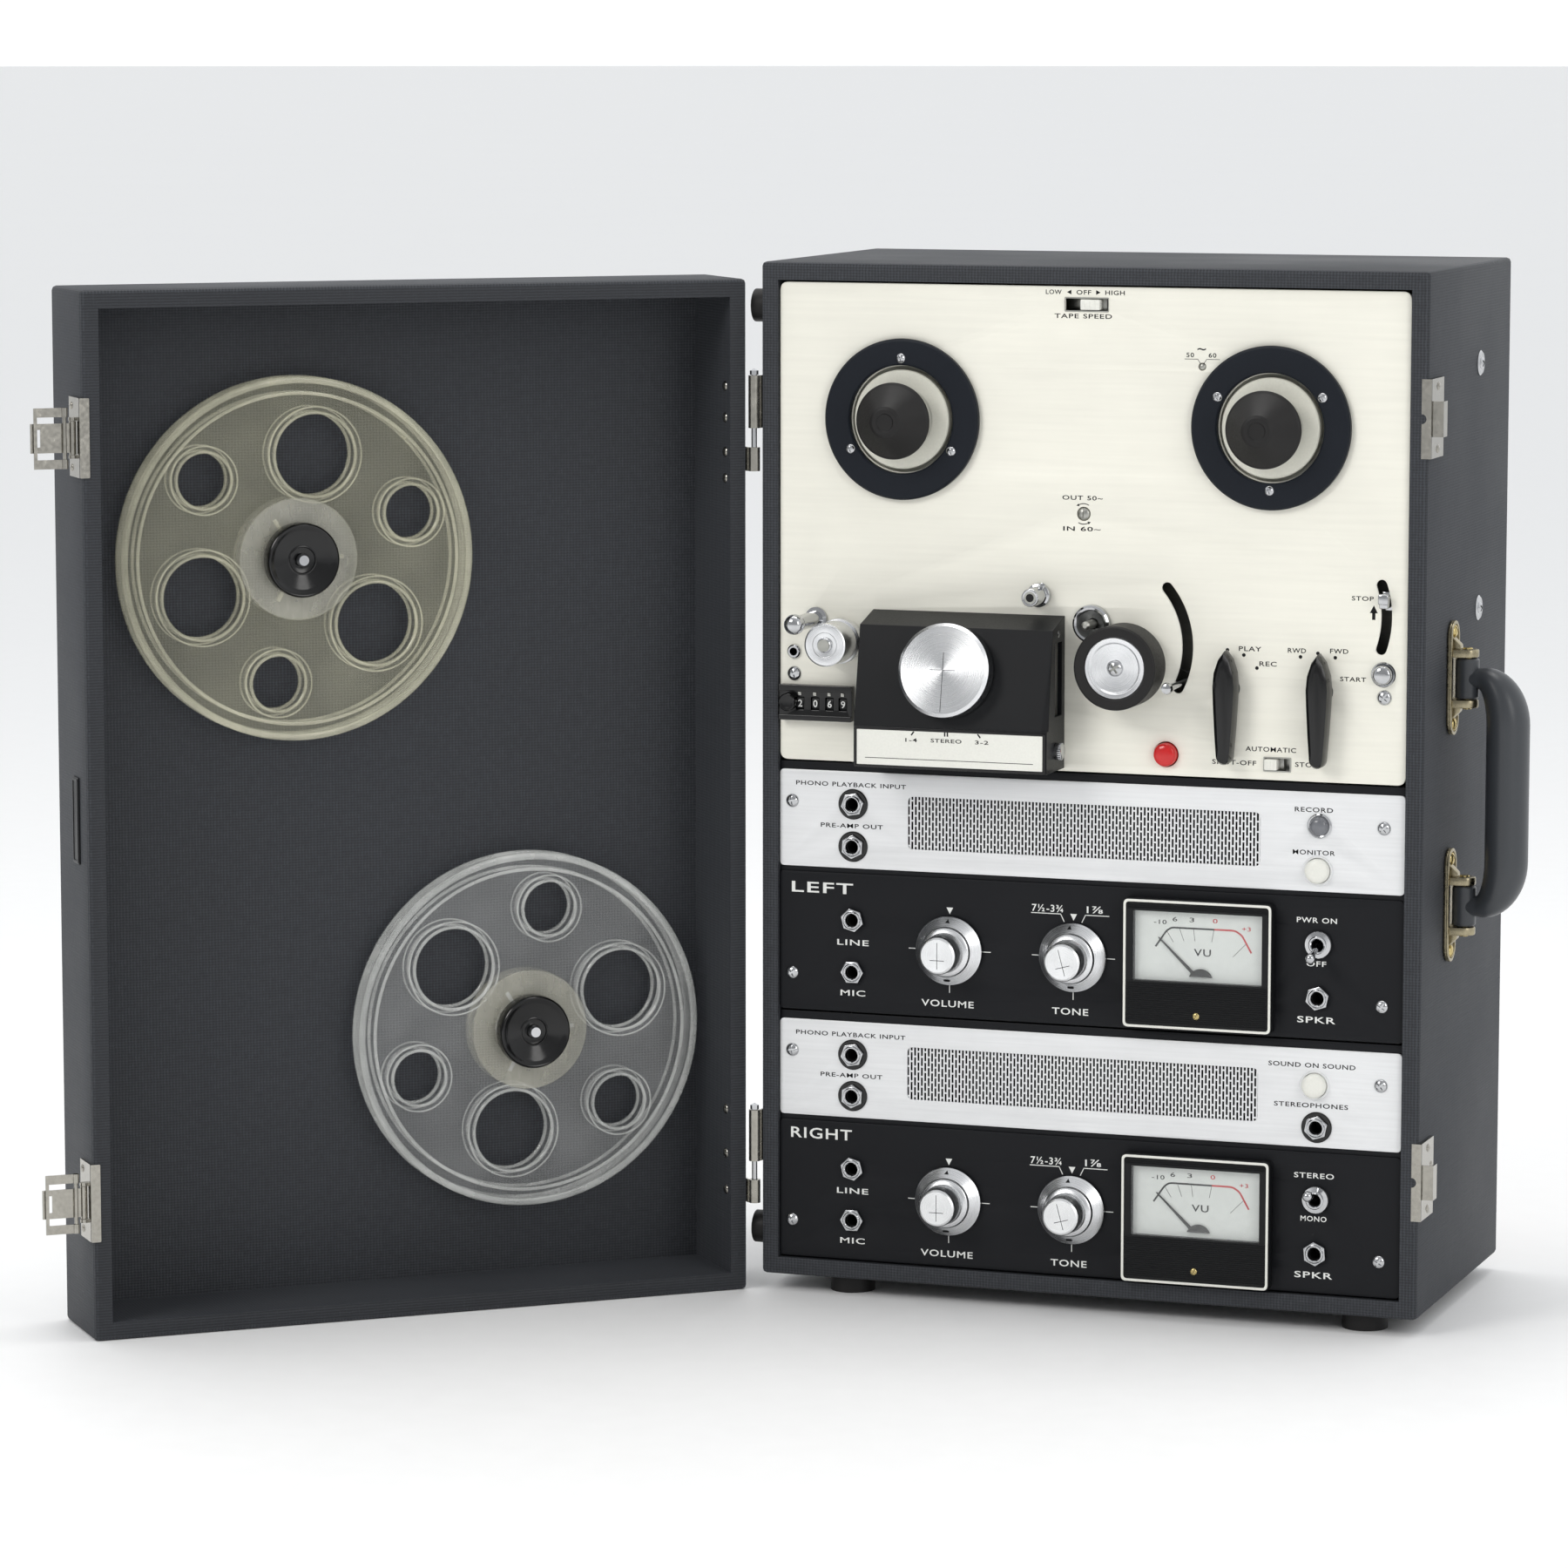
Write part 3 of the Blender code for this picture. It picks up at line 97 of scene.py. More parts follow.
STOP_PIVOT, STOP_R, STOP_REST, STOP_END = (0.2685, 0.3415), 0.0488, rad(8.8), rad(18.5)
COVER_RIGHT, COVER_STEP, COVER_FRONT = 0.1568, 0.283, 0.0295
COVER_TILT = math.atan2(0.0095, 0.048)
SELECTOR, SELECTOR_R = (0.1054, 0.31), 0.023
LEVERS, LEVER_Z = {"play_lever": 0.2398, "transport_lever": 0.2861}, 0.3046
AMPS = {"upper": (0.135, 0.2558), "lower": (0.0096, 0.1303)}
KNOB_X, KNOB_Z, KNOB_R = {"volume": 0.0982, "tone": 0.162}, {"left": 0.169, "right": 0.043}, 0.0171
METER_X, METER_Z = (0.1892, 0.2643), {"left": (0.137, 0.2008), "right": (0.0105, 0.0743)}
JACKS = {"upper": (0.2395, 0.2183, 0.1816, 0.1554), "lower": (0.1137, 0.0928, 0.0561, 0.03)}
JACK_X, RIGHT_X = 0.0477, 0.2857
RIGHT_JACKS = {"upper": (0.1554,), "lower": (0.0918, 0.0295)}
LATCH_Z = {"upper": 0.437, "lower": 0.068}
HINGES = {"upper": 0.451, "lower": 0.0832}
HANDLE_Y, HANDLE_OUT, HANDLE_REACH = 0.052, 0.0085, 0.0212
HANDLE_Z = {"upper": 0.3082, "lower": 0.1967}
GUIDE_POST, BALL_POST, TEST_SOCKET = (0.1439, 0.3468), (0.0285, 0.3315), (0.0168, 0.3146)
SPEED_TRIM, CYCLE_TRIM = (0.1658, 0.387), (0.2248, 0.4596)
RECORD, START, MONITOR, SOUND = (0.2083, 0.2711), (0.3161, 0.3139), (0.2849, 0.2176), (0.2845, 0.1124)
LAMP, COUNTER_X, COUNTER_Z = (0.2854, 0.2395), (0.0213, 0.0292, 0.0367, 0.0437), 0.2894
RING_OUT, PANEL_THICK, REEL_OUT = 0.0041, 0.0014, 0.0046
STRIKE_OUT, LUG_TIP = 0.0014, HANDLE_OUT - 0.0003
RING_IN, BACK_FACE = TABLE_R + 0.0022, 0.1705
QUARTER, HERE = math.pi / 2, Matrix.Identity(4)


def move(x, y, z):
    return Matrix.Translation((x, y, z))


def rot(angle, axis="Z"):
    return Matrix.Rotation(angle, 4, axis)


def sized(factor):
    return Matrix.Scale(factor, 4)


def mm(text):
    """Points written in millimetres, as "x,y x,y"."""
    return [tuple(float(number + "e-3") for number in point.split(",")) for point in text.split()]


def words(text):
    """Label rows written in millimetres: "WORDS x z height width, ...", with _ for a space."""
    rows = [row.split() for row in text.split(", ")]
    return [(row[0].replace("_", " "), *[float(number + "e-3") for number in row[1:]]) for row in rows]


DECK = move(AT_X, AT_Y, FOOT_H)
LID = move(HINGE_X + AT_X, AT_Y, 0.0) @ rot(-LID_OPEN) @ move(-HINGE_X, 0.0, 0.0)


def front(x, z, out=0.0, turn=0.0):
    """On the front panels: local X right, Y up, Z out of the panel."""
    return DECK @ move(x, PANEL_Y - out, z) @ rot(QUARTER, "X") @ rot(turn)


def lid_floor(x, z, out=0.0):
    """On the lid's inner face: local Z points out of the lid."""
    return wall(LID, x, -LID_D + LID_FACE + out, z, -QUARTER, "X")


def wall(frame, x, y, z, angle=QUARTER, axis="Y"):
    """On a wall of the cabinet or lid: local Z points out of it, to the right unless turned."""
    return frame @ move(x, y, z) @ rot(angle, axis)


# ---- materials ----------------------------------------------------------------------------------
def linear(grey):
    grey /= 255.0
    return grey / 12.92 if grey <= 0.04045 else ((grey + 0.055) / 1.055) ** 2.4


def rgb(red, green, blue):
    return (linear(red), linear(green), linear(blue), 1.0)


class Paint:
    """A Principled material whose colour, roughness and relief come from procedural patterns."""

    def __init__(self, name, colour, rough, metal=0.0, **sockets):
        self.mat = bpy.data.materials.new(name)
        self.mat.use_nodes = True
        self.tree = self.mat.node_tree
        self.shader = self.tree.nodes["Principled BSDF"]
        self.colour, self.rough = colour, rough
        self.shader.inputs["Metallic"].default_value = metal
        for key, value in sockets.items():
            self.shader.inputs[key.replace("_", " ")].default_value = value
        self.height = None

    def node(self, kind, *links, **values):
        made = self.tree.nodes.new("ShaderNode" + kind)
        for key, value in values.items():
            if hasattr(made, key):
                setattr(made, key, value)
            else:
                made.inputs[key.replace("_", " ")].default_value = value
        for socket, source in links:
            self.tree.links.new(source, made.inputs[socket])
        return made

    def place(self, scale=(1, 1, 1), turn=0.0):
        coord = self.node("TexCoord").outputs["Object"]
        mapping = self.node("Mapping", ("Vector", coord), vector_type="POINT")
        mapping.inputs["Scale"].default_value = scale
        mapping.inputs["Rotation"].default_value = (0.0, 0.0, turn)
        return mapping.outputs["Vector"]

    def noise(self, scale, detail=3.0, stretch=(1, 1, 1), where=None):
        where = where or self.place(stretch)
        return self.node("TexNoise", ("Vector", where), Scale=scale, Detail=detail).outputs["Fac"]

    def span(self, value, low, high, start=0.3, end=0.7):
        node = self.node("MapRange", ("Value", value))
        for key, number in (("From Min", start), ("From Max", end), ("To Min", low), ("To Max", high)):
            node.inputs[key].default_value = number
        return node.outputs["Result"]

    def math(self, kind, first, second):
        node = self.node("Math", operation=kind)
        for index, item in enumerate((first, second)):
            if isinstance(item, (int, float)):
                node.inputs[index].default_value = item
            else:
                self.tree.links.new(item, node.inputs[index])
        return node.outputs[0]

    def tint(self, factor, low, high):
        """Colour between two shades of the base colour."""
        mix = self.node("Mix", data_type="RGBA")
        self.tree.links.new(factor, mix.inputs[0])
        mix.inputs[6].default_value = (*[c * low for c in self.colour[:3]], 1.0)
        mix.inputs[7].default_value = (*[min(1.0, c * high) for c in self.colour[:3]], 1.0)
        return mix.outputs[2]

    def done(self, colour, rough, height=None, relief=0.00003, strength=0.6):
        self.tree.links.new(colour, self.shader.inputs["Base Color"])
        self.tree.links.new(rough, self.shader.inputs["Roughness"])
        if height is not None:
            bump = self.node("Bump", ("Height", height), Distance=relief, Strength=strength)
            self.tree.links.new(bump.outputs["Normal"], self.shader.inputs["Normal"])
        return self.mat


def grained(name, colour, rough, metal, fine, shade, wear, relief, broad=28.0, stretch=(1, 1, 1), **sockets):
    """Fine grain over broad, soft wear: brushed if the grain is stretched, moulded if it isn't."""
    p = Paint(name, colour, rough, metal, **sockets)
    grain = p.noise(fine, 3.0, stretch)
    patches = p.noise(broad, 4.0)
    both = p.math("ADD", p.math("MULTIPLY", grain, 0.6), p.math("MULTIPLY", patches, 0.4))
    return p.done(p.tint(p.span(both, 0.0, 1.0), 1.0 - shade, 1.0 + shade),
        p.span(both, max(0.02, rough - wear), min(1.0, rough + wear)), grain, relief)


def spun(name, colour, rough, aniso=0.75):
    """Metal turned on a lathe: fine rings round local Z, and the highlight a turned face gives."""
    p = Paint(name, colour, rough, 1.0, Anisotropic=aniso)
    flat = p.place((1, 1, 0))
    radius = p.node("VectorMath", (0, flat), operation="LENGTH").outputs["Value"]
    rings = p.node("TexNoise", ("W", p.math("MULTIPLY", radius, 4200.0)), noise_dimensions="1D", Scale=1.0,
        Detail=2.0).outputs["Fac"]
    tangent = p.node("Tangent", direction_type="RADIAL", axis="Z")
    p.tree.links.new(tangent.outputs["Tangent"], p.shader.inputs["Tangent"])
    worn = p.noise(60.0)
    return p.done(p.tint(p.span(rings, 0.0, 1.0), 0.86, 1.06), p.math("ADD",
        p.span(rings, rough - 0.05, rough + 0.05), p.span(worn, -0.02, 0.05)), rings, 0.000012)


def vinyl(name, turn=0.0, shade=1.0):
    """Bookcloth-like vinyl: raised cross ribs about a millimetre apart over finer threads."""
    p = Paint(name, rgb(56 * shade, 58 * shade, 62 * shade), 0.62, Specular_IOR_Level=0.22)
    where = p.place((1, 1, 1), turn)

    def wave(axis, pitch, wobble):
        node = p.node("TexWave", ("Vector", where), bands_direction=axis, wave_profile="SIN")
        node.inputs["Scale"].default_value = math.pi / 10 / pitch
        node.inputs["Distortion"].default_value = wobble
        node.inputs["Detail"].default_value = 2.0
        node.inputs["Detail Scale"].default_value = 1.6
        return node.outputs["Fac"]

    ribs = p.math("MULTIPLY", wave("Z", 0.00135, 1.2), 0.55)
    threads = p.math("MULTIPLY", p.math("MULTIPLY", wave("X", 0.0016, 1.6), wave("Y", 0.0016, 1.6)), 0.9)
    weave = p.math("ADD", ribs, threads)
    grain = p.noise(2600.0, 2.0)
    height = p.math("ADD", weave, p.math("MULTIPLY", grain, 0.35))
    patches = p.span(p.noise(9.0, 5.0), -0.09, 0.09)
    colour = p.tint(p.math("ADD", p.span(height, 0.0, 1.0, 0.15, 1.35), patches), 0.6, 1.5)
    return p.done(colour, p.math("ADD", p.span(weave, 0.56, 0.7), patches), height, 0.0002, 0.75)


def see_through(name, colour, alpha, rough=0.06):
    """Clear styrene: thin, a little hazy from moulding, with fine scratches; its pale colour, shown by its
    share of cover, is painted reflection of the bright room.
    """
    p = Paint(name, colour, rough, IOR=1.58, Coat_Weight=0.6, Coat_Roughness=0.04)
    haze_and_reflection = p.noise(45.0, 4.0)
    scratch = p.noise(160.0, 3.0, (1, 0.15, 1))
    # The noise varies the painted reflection from place to place, in share of cover and in shade.
    p.tree.links.new(p.span(haze_and_reflection, alpha * 0.85, min(1.0, alpha * 1.15)), p.shader.inputs["Alpha"])
    return p.done(p.tint(p.span(haze_and_reflection, 0.0, 1.0), 0.9, 1.06), p.span(scratch, rough, rough + 0.1), scratch,
        0.000002, 0.3)


VINYL = vinyl("vinyl_case")
LID_VINYL = vinyl("vinyl_lid", LID_OPEN)
CREAM = grained("cream_brushed", rgb(243, 241, 229), 0.36, 0.0, 420.0, 0.035, 0.08, 0.00001,
    Specular_IOR_Level=0.5, stretch=(0.04, 1, 1))
SILVER = grained("silver_brushed", rgb(235, 236, 237), 0.36, 0.2, 700.0, 0.05, 0.07, 0.00001,
    stretch=(0.03, 1, 1))
FACE = grained("amp_face", rgb(26, 27, 30), 0.46, 0.0, 1500.0, 0.1, 0.06, 0.00002, Specular_IOR_Level=0.16)
GLOSS = grained("gloss_black", rgb(10, 10, 11), 0.16, 0.0, 500.0, 0.1, 0.05, 0.000004,
    Specular_IOR_Level=0.45)
SATIN = grained("satin_black", rgb(20, 21, 23), 0.4, 0.0, 1300.0, 0.1, 0.07, 0.000018,
    Specular_IOR_Level=0.24)
RING_BLACK = grained("ring_black", rgb(26, 30, 37), 0.42, 0.0, 900.0, 0.1, 0.06, 0.000012,
    Specular_IOR_Level=0.16)
RUBBER = grained("rubber", rgb(28, 27, 27), 0.5, 0.0, 1100.0, 0.16, 0.12, 0.00003, 60.0,
    Specular_IOR_Level=0.3)
GRIP = grained("grip_plastic", rgb(58, 61, 65), 0.34, 0.0, 1400.0, 0.08, 0.07, 0.00004)
CHROME = grained("chrome", rgb(192, 193, 195), 0.08, 1.0, 900.0, 0.05, 0.04, 0.000004)
STEEL = grained("plated_steel", rgb(176, 176, 170), 0.36, 1.0, 600.0, 0.12, 0.1, 0.00001, stretch=(0.2, 1, 1))
LATCH = grained("latch_steel", rgb(164, 161, 153), 0.2, 1.0, 500.0, 0.2, 0.1, 0.00002, 120.0)
NICKEL = grained("aged_nickel", rgb(158, 149, 124), 0.3, 1.0, 420.0, 0.32, 0.14, 0.00006, 150.0)
BRASS = grained("brass", rgb(196, 178, 124), 0.3, 1.0, 700.0, 0.15, 0.1, 0.00001)
RED = grained("red_plastic", rgb(206, 22, 24), 0.22, 0.0, 900.0, 0.08, 0.06, 0.000008, Coat_Weight=0.3)
WHITE = grained("white_plastic", rgb(236, 236, 228), 0.34, 0.0, 900.0, 0.04, 0.06, 0.00001)
TABLE = grained("table_cream", rgb(222, 221, 208), 0.4, 0.0, 900.0, 0.05, 0.08, 0.00001)
DIAL = grained("dial_card", rgb(222, 226, 222), 0.55, 0.0, 260.0, 0.05, 0.1, 0.000006, 40.0)
INK = grained("black_ink", rgb(22, 22, 24), 0.55, 0.0, 2400.0, 0.2, 0.1, 0.000004, Specular_IOR_Level=0.2)
WHITE_INK = grained("white_ink", rgb(232, 233, 230), 0.5, 0.0, 2400.0, 0.05, 0.1, 0.000004)
RED_INK = grained("red_ink", rgb(196, 44, 50), 0.5, 0.0, 2400.0, 0.12, 0.1, 0.000004)
BOARD = grained("hardboard", rgb(92, 66, 46), 0.78, 0.0, 700.0, 0.22, 0.1, 0.00008, 40.0, stretch=(1, 0.4, 1))
DARK = grained("inside_black", rgb(12, 12, 13), 0.75, 0.0, 900.0, 0.2, 0.1, 0.00003)
MOTOR_CAN = grained("motor_can", rgb(120, 124, 128), 0.42, 0.9, 500.0, 0.12, 0.1, 0.00002,
    stretch=(1, 1, 0.1))
BELT = grained("belt_rubber", rgb(24, 24, 24), 0.65, 0.0, 1500.0, 0.15, 0.1, 0.00002)
SPUN = spun("spun_aluminium", rgb(232, 233, 235), 0.26)
SPUN_CAP = spun("spun_cap", rgb(240, 241, 242), 0.26, 0.6)
# Clear flange plastic: its pale grey, shown at a small share of cover, is painted reflection of the bright
# room; the aged pair's yellow tint is real ageing.
STYRENE = see_through("clear_styrene", rgb(196, 198, 198), 0.075)
# This paint and the aged one two lines down give the rims, lips and ribs a brighter, more covering pale
# colour: painted highlight on the clear edges.
STYRENE_HIGHLIT_EDGES = see_through("styrene_highlit_edges", rgb(232, 234, 230), 0.3)
STYRENE_AGED = see_through("aged_styrene", rgb(204, 202, 176), 0.08)
STYRENE_AGED_HIGHLIT_EDGES = see_through("aged_styrene_highlit_edges", rgb(234, 231, 204), 0.28)
HUB = see_through("hub_styrene", rgb(214, 212, 196), 0.34, 0.22)
# Meter glass: near-white at a small share of cover, a painted reflection veil over the dial.
METER_GLASS = see_through("meter_glass", rgb(235, 238, 238), 0.07, 0.03)
LENS = see_through("lamp_lens", rgb(128, 130, 136), 0.72, 0.08)


# ---- meshes -------------------------------------------------------------------------------------
def mesh_of(bm, angle=38.0):
    bmesh.ops.recalc_face_normals(bm, faces=bm.faces)
    mesh = bpy.data.meshes.new("made")
    bm.to_mesh(mesh)
    bm.free()
    mesh.shade_smooth()
    mesh.set_sharp_from_angle(angle=rad(angle))
    return mesh


def fillet(points, radius, steps=3, closed=False):
    """Round the corners of a line of points."""
    count = len(points)
    result = []
    for i, point in enumerate(points):
        if not closed and i in (0, count - 1):
            result.append(tuple(point))
            continue
        here = Vector(point)
        before, after = Vector(points[i - 1]), Vector(points[(i + 1) % count])
        a, b = before - here, after - here
        if a.length < 1e-7 or b.length < 1e-7 or a.angle(b) > rad(170):
            result.append(tuple(point))
            continue
        reach = min(radius / math.tan(a.angle(b) / 2), 0.45 * a.length, 0.45 * b.length)
        start, end = here + a.normalized() * reach, here + b.normalized() * reach
        for step in range(steps + 1):
            t = step / steps
            spot = start * (1 - t) ** 2 + here * 2 * t * (1 - t) + end * t * t
            result.append((spot.x, spot.y))
    return result


def circle(x, y, radius, steps=40):
    angles = [2 * math.pi * k / steps for k in range(steps)]
    return [(x + radius * math.cos(a), y + radius * math.sin(a)) for a in angles]


def lathe(profile, steps=64, angle=38.0, soft=0.0):
    """Turned solid: (radius, height) from top to foot, closed if it ends where it starts."""
    closed = profile[0] == profile[-1]
    line = profile[:-1] if closed else profile
    if soft:
        line = fillet(line, soft, 3, closed)
    bm = bmesh.new()
    rings = []
    for radius, height in line:
        spots = [(0, 0)] if radius < 1e-7 else circle(0, 0, radius, steps)
        rings.append([bm.verts.new((x, y, height)) for x, y in spots])
    for upper, lower in zip(rings, rings[1:] + (rings[:1] if closed else [])):
        for k in range(steps):
            n = (k + 1) % steps
            corners = [upper[k % len(upper)], upper[n % len(upper)], lower[n % len(lower)],
                lower[k % len(lower)]]
            corners = list(dict.fromkeys(corners))
            if len(corners) > 2:
                bm.faces.new(corners)
    return mesh_of(bm, angle)


def loft(sections, angle):
    """Solid through sections with the same number of points (x, y, z), with flat ends."""
    bm = bmesh.new()
    rings = [[bm.verts.new(point) for point in section] for section in sections]
    count = len(rings[0])
    for upper, lower in zip(rings, rings[1:]):
        for k in range(count):
            bm.faces.new((upper[k], upper[(k + 1) % count], lower[(k + 1) % count], lower[k]))
    bm.faces.new(rings[0])
    bm.faces.new(rings[-1])
    return mesh_of(bm, angle)


def from_curve(curve):
    drawn = bpy.data.objects.new("drawn", curve)
    bpy.context.scene.collection.objects.link(drawn)
    bpy.context.view_layer.update()
    mesh = bpy.data.meshes.new_from_object(drawn.evaluated_get(bpy.context.evaluated_depsgraph_get()))
    bpy.data.objects.remove(drawn, do_unlink=True)
    return mesh


def slab(outline, low, high, holes=(), edge=0.0):
    """Flat piece between two heights, with holes and a rounded edge."""
    curve = bpy.data.curves.new("outline", "CURVE")
    curve.dimensions, curve.fill_mode = "2D", "BOTH"
    curve.extrude = (high - low) / 2 - edge
    curve.bevel_depth, curve.offset, curve.bevel_resolution = edge, -edge, 1
    for line in [outline, *holes]:
        spline = curve.splines.new("POLY")
        spline.points.add(len(line) - 1)
        for point, (x, y) in zip(spline.points, line):
            point.co = (x, y, 0, 1)
        spline.use_cyclic_u = True
    bm = bmesh.new()
    mesh = from_curve(curve)
    bm.from_mesh(mesh)
    bmesh.ops.remove_doubles(bm, verts=bm.verts, dist=0.000002)
    bmesh.ops.translate(bm, vec=(0, 0, (low + high) / 2), verts=bm.verts)
    return mesh_of(bm, 40.0)


def block(low, high, edge=0.0, segments=2):
    bm = bmesh.new()
    low, high = Vector(low), Vector(high)
    bmesh.ops.create_cube(bm, size=1.0)
    bmesh.ops.scale(bm, vec=high - low, verts=bm.verts)
    bmesh.ops.translate(bm, vec=(low + high) / 2, verts=bm.verts)
    if edge:
        bmesh.ops.bevel(bm, geom=bm.edges[:], offset=edge, segments=segments, profile=0.5, affect="EDGES")
    return mesh_of(bm, 32.0)


def oblong(low_x, low_y, high_x, high_y, radius=0.0, steps=6):
    corners = [(low_x, low_y), (high_x, low_y), (high_x, high_y), (low_x, high_y)]
    return fillet(corners, radius, steps, True) if radius else corners


def arc(x, y, radius, start, end, steps=12):
    angles = [start + (end - start) * k / steps for k in range(steps + 1)]
    return [(x + radius * math.cos(a), y + radius * math.sin(a)) for a in angles]


def band(x, y, radius, half, start, end, steps=24):
    """Curved slot with round ends."""
    line = arc(x, y, radius + half, start, end, steps)
    line += arc(x + radius * math.cos(end), y + radius * math.sin(end), half, end, end + math.pi, 8)[1:-1]
    line += arc(x, y, radius - half, end, start, steps)
    line += arc(x + radius * math.cos(start), y + radius * math.sin(start), half, start + math.pi, start
        + 2 * math.pi, 8)[1:-1]
    return line


def capsule(half_length, radius, steps=12):
    return arc(half_length, 0, radius, -QUARTER, QUARTER, steps) + arc(-half_length, 0, radius, QUARTER,
        3 * math.pi / 2, steps)


def merge(parts):
    """One mesh from parts: each (mesh, matrix, paint number), or a bare mesh that stays put in paint 0."""
    bm = bmesh.new()
    for part in parts:
        mesh, matrix, index = part if isinstance(part, tuple) else (part, HERE, 0)
        copy = mesh.copy()
        copy.transform(matrix)
        if matrix.determinant() < 0:
            copy.flip_normals()
        for polygon in copy.polygons:
            polygon.material_index = index
        bm.from_mesh(copy)
        bpy.data.meshes.remove(copy)
    merged = bpy.data.meshes.new("merged")
    bm.to_mesh(merged)
    bm.free()
    return merged


def piece(name, mesh, matrix, paints, body="cabinet", stands_for=()):
    """One piece of the visual, from a mesh or a list of parts to merge."""
    if isinstance(mesh, list):
        mesh = merge(mesh)
    mesh.name = name
    obj = bpy.data.objects.new(name, mesh)
    bpy.context.scene.collection.objects.link(obj)
    obj.matrix_world = matrix
    for paint in paints if isinstance(paints, (list, tuple)) else [paints]:
        mesh.materials.append(paint)
    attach(obj, body)
    if stands_for:
        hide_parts(*([stands_for] if isinstance(stands_for, str) else stands_for))
    return obj


def dress(node, paints, width=0.0, test=None):
    """Give a CAD node its finish; width softens its edges, and test picks each face's paint."""
    obj = bpy.data.objects[node]
    obj.data.materials.clear()
    for paint in paints if isinstance(paints, (list, tuple)) else [paints]:
        obj.data.materials.append(paint)
    for polygon in obj.data.polygons:
        polygon.use_smooth = True
        polygon.material_index = test(polygon.center) if test else 0
    weld = obj.modifiers.new("weld", "WELD")
    weld.merge_threshold = 0.00001
    if width:
        bevel = obj.modifiers.new("edges", "BEVEL")
        bevel.width, bevel.segments, bevel.limit_method = width, 2, "ANGLE"
        bevel.angle_limit = rad(34)
        even = obj.modifiers.new("even", "WEIGHTED_NORMAL")
        even.weight, even.mode = 80, "FACE_AREA"
    else:
        curved_edges(obj)


def curved_edges(obj):
    """Flat shading across sharp edges for a dressed node without softened edges."""
    group = bpy.data.node_groups.get("by_angle")
    if group is None:
        group = bpy.data.node_groups.new("by_angle", "GeometryNodeTree")
        group.interface.new_socket("Geometry", in_out="INPUT", socket_type="NodeSocketGeometry")
        group.interface.new_socket("Geometry", in_out="OUTPUT", socket_type="NodeSocketGeometry")
        start, end = group.nodes.new("NodeGroupInput"), group.nodes.new("NodeGroupOutput")
        angle, limit, smooth = (group.nodes.new(k) for k in ("GeometryNodeInputMeshEdgeAngle",
            "FunctionNodeCompare", "GeometryNodeSetShadeSmooth"))
        limit.operation = "LESS_EQUAL"
        limit.inputs["B"].default_value = rad(34)
        smooth.domain = "EDGE"
        group.links.new(angle.outputs["Unsigned Angle"], limit.inputs["A"])
        group.links.new(start.outputs[0], smooth.inputs["Geometry"])
        group.links.new(limit.outputs["Result"], smooth.inputs["Shade Smooth"])
        group.links.new(smooth.outputs[0], end.inputs[0])
    obj.modifiers.new("by_angle", "NODES").node_group = group


# ---- small fittings -----------------------------------------------------------------------------
def carved(mesh, tools):
    """Cut tools from a mesh once, and keep the result as a mesh."""
    target = bpy.data.objects.new("carved", mesh)
    bpy.context.scene.collection.objects.link(target)
    made = []
    for tool in tools:
        cutter = bpy.data.objects.new("tool", tool)
        bpy.context.scene.collection.objects.link(cutter)
        step = target.modifiers.new("cut", "BOOLEAN")
        step.object, step.solver = cutter, "EXACT"
        made.append(cutter)
    bpy.context.view_layer.update()
    result = bpy.data.meshes.new_from_object(target.evaluated_get(bpy.context.evaluated_depsgraph_get()))
    for obj in [target, *made]:
        bpy.data.objects.remove(obj, do_unlink=True)
    result.shade_smooth()
    result.set_sharp_from_angle(angle=rad(35))
    return result


DOME = [(0, 0.52), (0.3, 0.5), (0.62, 0.41), (0.86, 0.25), (0.97, 0.09), (1.0, 0.0), (0.98, -0.1), (0, -0.1)]
PHILLIPS = carved(lathe(DOME, 48), [block((-0.62, -0.13, 0.2), (0.62, 0.13, 0.9)),
    block((-0.13, -0.62, 0.2), (0.13, 0.62, 0.9))])
SLOTTED = carved(lathe(DOME, 48), [block((-1.2, -0.11, 0.22), (1.2, 0.11, 0.9))])
RIVET = lathe([(0, 0.42), (0.35, 0.4), (0.7, 0.28), (0.93, 0.1), (1.0, 0.0), (0, -0.05)], 32)


def studs(name, kind, places, paint, body="cabinet"):
    """Screws or rivets as one piece: (matrix, radius) each, its axis on local Z."""
    parts = [(kind, matrix @ sized(radius), 0) for matrix, radius in places]
    return piece(name, parts, HERE, paint, body)


def text_mesh(body, height, width=None):
    curve = bpy.data.curves.new("label", "FONT")
    curve.body, curve.align_x, curve.align_y = body, "LEFT", "BOTTOM_BASELINE"
    curve.extrude, curve.resolution_u, curve.offset = 0.02, 3, 0.012
    curve.space_character = 1.12
    mesh = from_curve(curve)
    if not mesh.vertices:
        return mesh
    xs = [v.co.x for v in mesh.vertices]
    scale = height / 0.69
    wide = width / (max(xs) - min(xs)) if width else scale * 1.25
    middle = (min(xs) + max(xs)) / 2
    mesh.transform(Matrix.Diagonal((wide, scale, 0.0012, 1.0)) @ move(-middle, -0.345, 0.0))
    return mesh


def labels(name, rows, paint, out=0.0):
    """Print on a panel as one thin mesh: (text, x, z, cap height[, width]) or the outline of a mark."""
    parts = []
    for row in rows:
        if isinstance(row[0], str):
            parts.append((text_mesh(row[0], *row[3:]), front(row[1], row[2], out + 0.00003), 0))
        else:
            parts.append((slab(row, 0.0, 0.00004), front(0, 0, out + 0.00001), 0))
    return piece(name, parts, HERE, paint)


